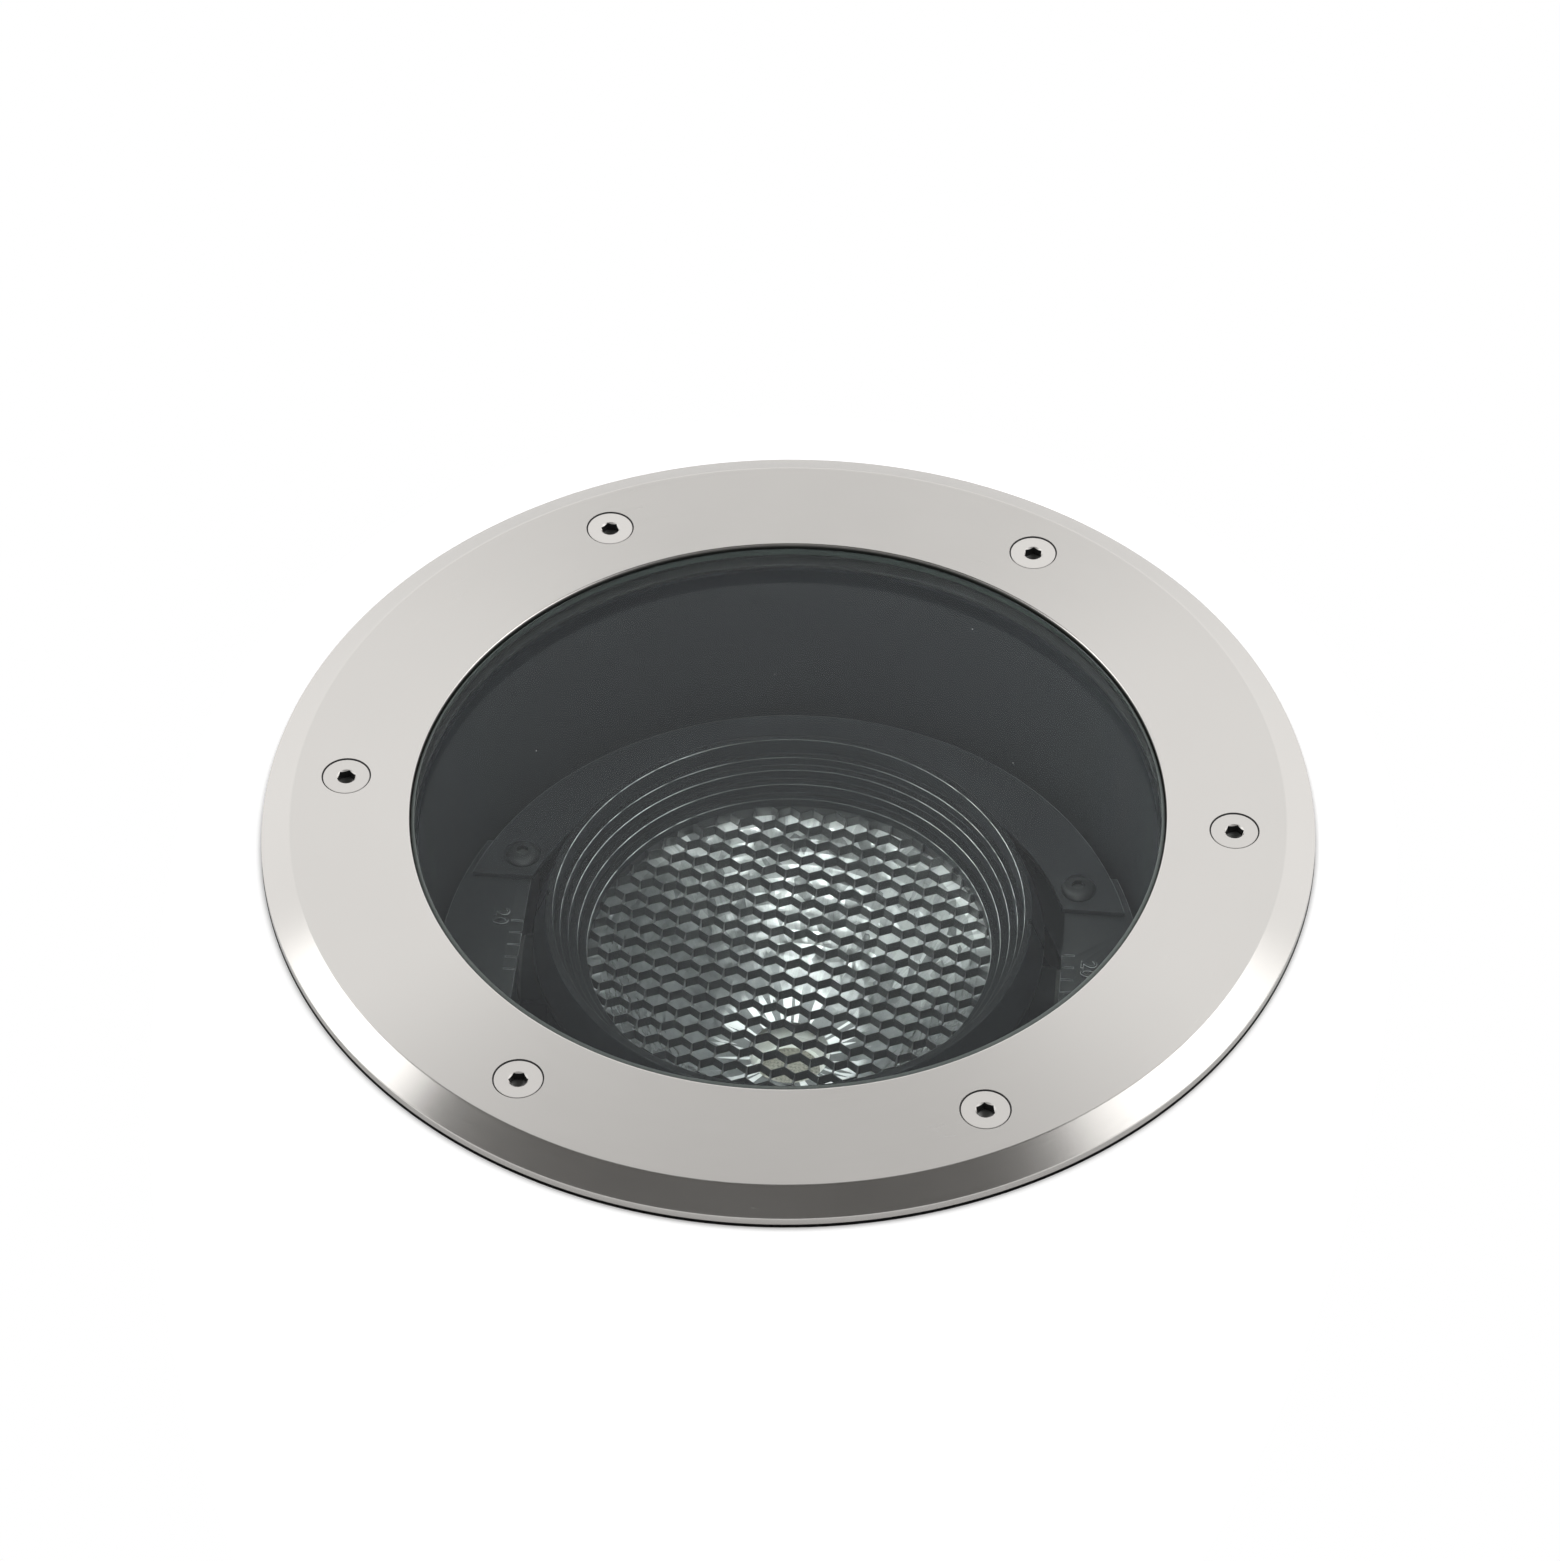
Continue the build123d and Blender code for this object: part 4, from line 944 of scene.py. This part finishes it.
class UPLIGHT_OT_reflector(bpy.types.Operator):
    """The bright reflector, pressed in pillowed facets"""
    bl_idname = "uplight.reflector"
    bl_label = "Reflector"

    def execute(self, context):
        look = context.scene.uplight_look
        bands, fine = look.facet_bands, 4
        count = look.facet_turns * fine
        top, foot, flange = high("reflector").z, low("reflector").z, high("reflector").x
        sheet, pillow_depth, spread = 0.0005, 0.00060, 1.25
        work = bmesh.new()

        def radius(share):
            """Radius of the bright side at a share of the height."""
            return (11.6 + 37.4 * share ** 0.52 - 1.15) * MM

        rings = []
        for i in range(bands * fine + 1):
            share = (i / (bands * fine)) ** spread
            height = foot + share * (top - foot)
            across = abs(math.sin(math.pi * i / fine))
            ring = []
            for j in range(count):
                around = abs(math.sin(math.pi * (j / fine + 0.5 * ((i // fine) % 2))))
                r = radius(share) - pillow_depth * across * around * (0.35 + 0.65 * share)
                angle = math.tau * j / count
                ring.append(work.verts.new((r * math.cos(angle), r * math.sin(angle), height)))
            rings.append(ring)
        back = [(flange, top), (flange, top - 0.0008), (radius(1) + sheet, top - 0.0008)]
        for i in range(9, -1, -1):
            share = (i / 10) ** spread
            back.append((radius(share) + sheet, foot + share * (top - foot)))
        rings += [[work.verts.new((x, y, z)) for x, y in polygon(count, r)] for r, z in back]
        mesh = bridged("reflector_pressed", work, rings)
        stand_in("reflector_pressed", mesh, "reflector", "head", ["bright sheet"], 12)
        return {"FINISHED"}


class UPLIGHT_OT_lamp(bpy.types.Operator):
    """The board with its chip field, dam ring and solder pads"""
    bl_idname = "uplight.lamp"
    bl_label = "Lamp board"

    def execute(self, context):
        bottom, top = low("led_module").z, high("led_module").z
        face = bottom + 0.0012
        board = bevelled(prism_mesh("board", rectangle(0.012, 0.012), bottom, face), 0.0002, 1)
        dam = turned_mesh("dam", [(0.0078, face), (0.0086, face), (0.0085, top - 0.0001), (0.0082, top),
                                  (0.0079, top - 0.0001)], 96)
        field = turned_mesh("field", [(0, face), (0.0079, face), (0.0079, top - 0.00015),
                                      (0.0060, top - 0.00012), (0, top - 0.0001)], 96)
        pads = [placed(prism_mesh("pad", rectangle(0.0016, 0.0016), face, face + 0.00006),
                       Matrix.Translation((side * 0.0092, side * 0.0092, 0))) for side in (1, -1)]
        for index, part in ((0, board), (1, dam), (2, field), (3, pads[0]), (3, pads[1])):
            paint(part, index, lambda c, n: True)
        mesh = joined("lamp_board", [board, dam, field, *pads])
        stand_in("lamp_board", mesh, "led_module", "head",
                 ["ceramic", "moulded white", "phosphor", "plated steel"])
        return {"FINISHED"}


class UPLIGHT_OT_stage(bpy.types.Operator):
    """The piece of floor, the world, the softboxes and the camera"""
    bl_idname = "uplight.stage"
    bl_label = "Stage"

    def execute(self, context):
        studio = context.scene.uplight_studio
        self.floor(studio)
        self.world(context.scene)
        self.softboxes(context.scene, studio)
        self.camera(context.scene, studio)
        context.scene.view_settings.view_transform = "Standard"
        return {"FINISHED"}

    def floor(self, studio):
        """A piece of pale floor: narrow, so that the pot shows from other sides, but long in front."""
        material, board = finish("pale_floor")
        x, y, z = board.parts(board.place())
        off_the_rim = board.maths("SQRT", x * x + y * y) - BEZEL_RADIUS
        # painted contact shade: the camera's white glow fades out close to the rim
        seen = board.clamp(board.ray("Is Camera Ray") * board.ramp(off_the_rim, -0.0005, 0.0016)
                           + board.ray("Is Glossy Ray") * 0.53)
        lit = board.node("ShaderNodeBsdfDiffuse", None, {"Color": (0.86, 0.86, 0.86)})
        glow = board.node("ShaderNodeEmission", None, {"Color": (1, 1, 1), "Strength": 0.55})
        both = board.node("ShaderNodeAddShader", None, {0: lit, 1: glow})
        board.surface(board.node("ShaderNodeMixShader", None, {0: seen, 1: lit, 2: both}))
        # grey painted on the rebate under the rim as the shade in the gap
        rebate_shade, rebate_shade_board = finish("rebate_painted_shade")
        rebate_shade_board.surface(principled(rebate_shade_board, Base_Color=(0.10, 0.10, 0.10), Roughness=0.9))
        top, inner, gap = -studio.floor_drop, 0.1206, BEZEL_RADIUS + 0.0001
        mesh = turned_mesh("floor", [
            (inner, top - 0.006), (studio.floor_radius, top - 0.006), (studio.floor_radius, top),
            (gap, top), (gap, top - 0.003), (inner, top - 0.003)])
        floor = new_object("floor", mesh, [material, rebate_shade])
        # painted shade on the faces under the rim
        paint(mesh, 1, lambda c, n: off_axis(c) < BEZEL_RADIUS + 0.0005 and c.z > top - 0.0055)
        for vertex in mesh.vertices:
            if vertex.co.y < 0 and off_axis(vertex.co) > studio.floor_radius - 0.0005:
                vertex.co.y *= studio.floor_reach / studio.floor_radius

    def world(self, scene):
        """A white room with a darker ceiling, plain white where the camera sees it."""
        world = scene.world or bpy.data.worlds.new("room")
        scene.world = world
        board = Board(world)
        mirrored = board.clamp(board.ray("Glossy Depth"))
        under_glass = board.clamp(board.ray("Transmission Depth") - mirrored * 1.5 - 1)
        way = board.node("ShaderNodeTexCoord", out="Generated")
        x, y, z = board.parts(way)
        far_glow = board.ramp(0.72 - z, 0.0, 0.13) * board.ramp(y, 0.2, 0.7)
        level = board.mix(far_glow, (1.02, 1.02, 1.02), (1.15, 1.15, 1.15))
        level = board.mix(board.ramp(0.1 - z, 0.0, 0.2), level, (0.76, 0.76, 0.76))
        middle = 1 - board.ramp(board.maths("ABSOLUTE", x + 0.085), 0.54, 0.655)
        height = z + board.clamp(0.118 - y, 0.0, 0.118) * 0.59
        level = board.mix(board.ramp(height, 0.77, 0.87) * middle, level, (0.094, 0.092, 0.088))
        behind = board.ramp(0 - y, 0.1, 0.6) * board.ramp(z, 0.1, 0.5)
        level = board.mix(behind * 0.65, level, (0.25, 0.25, 0.25))
        inside = board.mix(board.ramp(0 - y - x * 0.8, 0.0, 0.5), (2.3, 2.3, 2.3), (7.7, 7.7, 7.7))
        level = board.mix(under_glass, level, inside)
        colour = board.mix(board.ray("Is Camera Ray"), level, (1, 1, 1))
        shade = board.node("ShaderNodeBackground", None, {"Color": colour, "Strength": 1.0})
        board.node("ShaderNodeOutputWorld", None, {"Surface": shade})

    def softboxes(self, scene, studio):
        """Two softboxes beyond the light, left and right."""
        for name, way, size in (("softbox_left", (-0.693, 0.178, 0.699), 0.62),
                                ("softbox_right", (0.579, 0.232, 0.782), 0.78)):
            lamp = bpy.data.lights.new(name, "AREA")
            lamp.shape = "SQUARE"
            lamp.size = size
            lamp.energy = studio.softbox_level * math.pi * size ** 2
            holder = bpy.data.objects.new(name, lamp)
            scene.collection.objects.link(holder)
            direction = Vector(way).normalized()
            holder.location = direction * SOFTBOX_DISTANCE
            holder.rotation_mode = "QUATERNION"
            holder.rotation_quaternion = direction.to_track_quat("Z", "Y")
            holder.visible_camera = False

    def camera(self, scene, studio):
        """The camera as it stood for the picture."""
        data = bpy.data.cameras.new("view")
        data.sensor_width = 36.0
        data.lens = studio.lens
        data.clip_start, data.clip_end = 0.05, 20
        azimuth, height, roll = (math.radians(angle) for angle in (5.592, 45.62, -0.49))
        back = Vector((math.sin(azimuth) * math.cos(height), -math.cos(azimuth) * math.cos(height),
                       math.sin(height)))
        right = Vector((math.cos(azimuth), math.sin(azimuth), 0))
        up = back.cross(right)
        across = right * math.cos(roll) + up * math.sin(roll)
        upward = up * math.cos(roll) - right * math.sin(roll)
        camera = bpy.data.objects.new("view", data)
        scene.collection.objects.link(camera)
        turn = Matrix((across, upward, back)).transposed().to_4x4()
        camera.matrix_world = Matrix.Translation(CAMERA_PLACE) @ turn
        scene.camera = camera


STEPS = (
    UPLIGHT_OT_finishes, UPLIGHT_OT_bezel, UPLIGHT_OT_bezel_screws, UPLIGHT_OT_glass,
    UPLIGHT_OT_pot, UPLIGHT_OT_yoke, UPLIGHT_OT_baffle, UPLIGHT_OT_louver, UPLIGHT_OT_reflector,
    UPLIGHT_OT_lamp, UPLIGHT_OT_stage,
)


class UPLIGHT_PT_pieces(bpy.types.Panel):
    """Lists the pieces and the stage in the sidebar"""
    bl_idname = "UPLIGHT_PT_pieces"
    bl_label = "Recessed uplight"
    bl_space_type = "VIEW_3D"
    bl_region_type = "UI"
    bl_category = "Uplight"

    def draw(self, context):
        for settings in (context.scene.uplight_look, context.scene.uplight_studio):
            for name in settings.bl_rna.properties.keys():
                if name not in ("rna_type", "name"):
                    self.layout.prop(settings, name)
        for step in STEPS:
            self.layout.operator(step.bl_idname)


CLASSES = (UplightLook, UplightStudio, *STEPS, UPLIGHT_PT_pieces)


def register():
    for kind in CLASSES:
        bpy.utils.register_class(kind)
    bpy.types.Scene.uplight_look = PointerProperty(type=UplightLook)
    bpy.types.Scene.uplight_studio = PointerProperty(type=UplightStudio)


def unregister():
    del bpy.types.Scene.uplight_studio
    del bpy.types.Scene.uplight_look
    for kind in reversed(CLASSES):
        bpy.utils.unregister_class(kind)


def main():
    register()
    for step in STEPS:
        group, name = step.bl_idname.split(".")
        getattr(getattr(bpy.ops, group), name)()


if __name__ == "__main__":
    main()
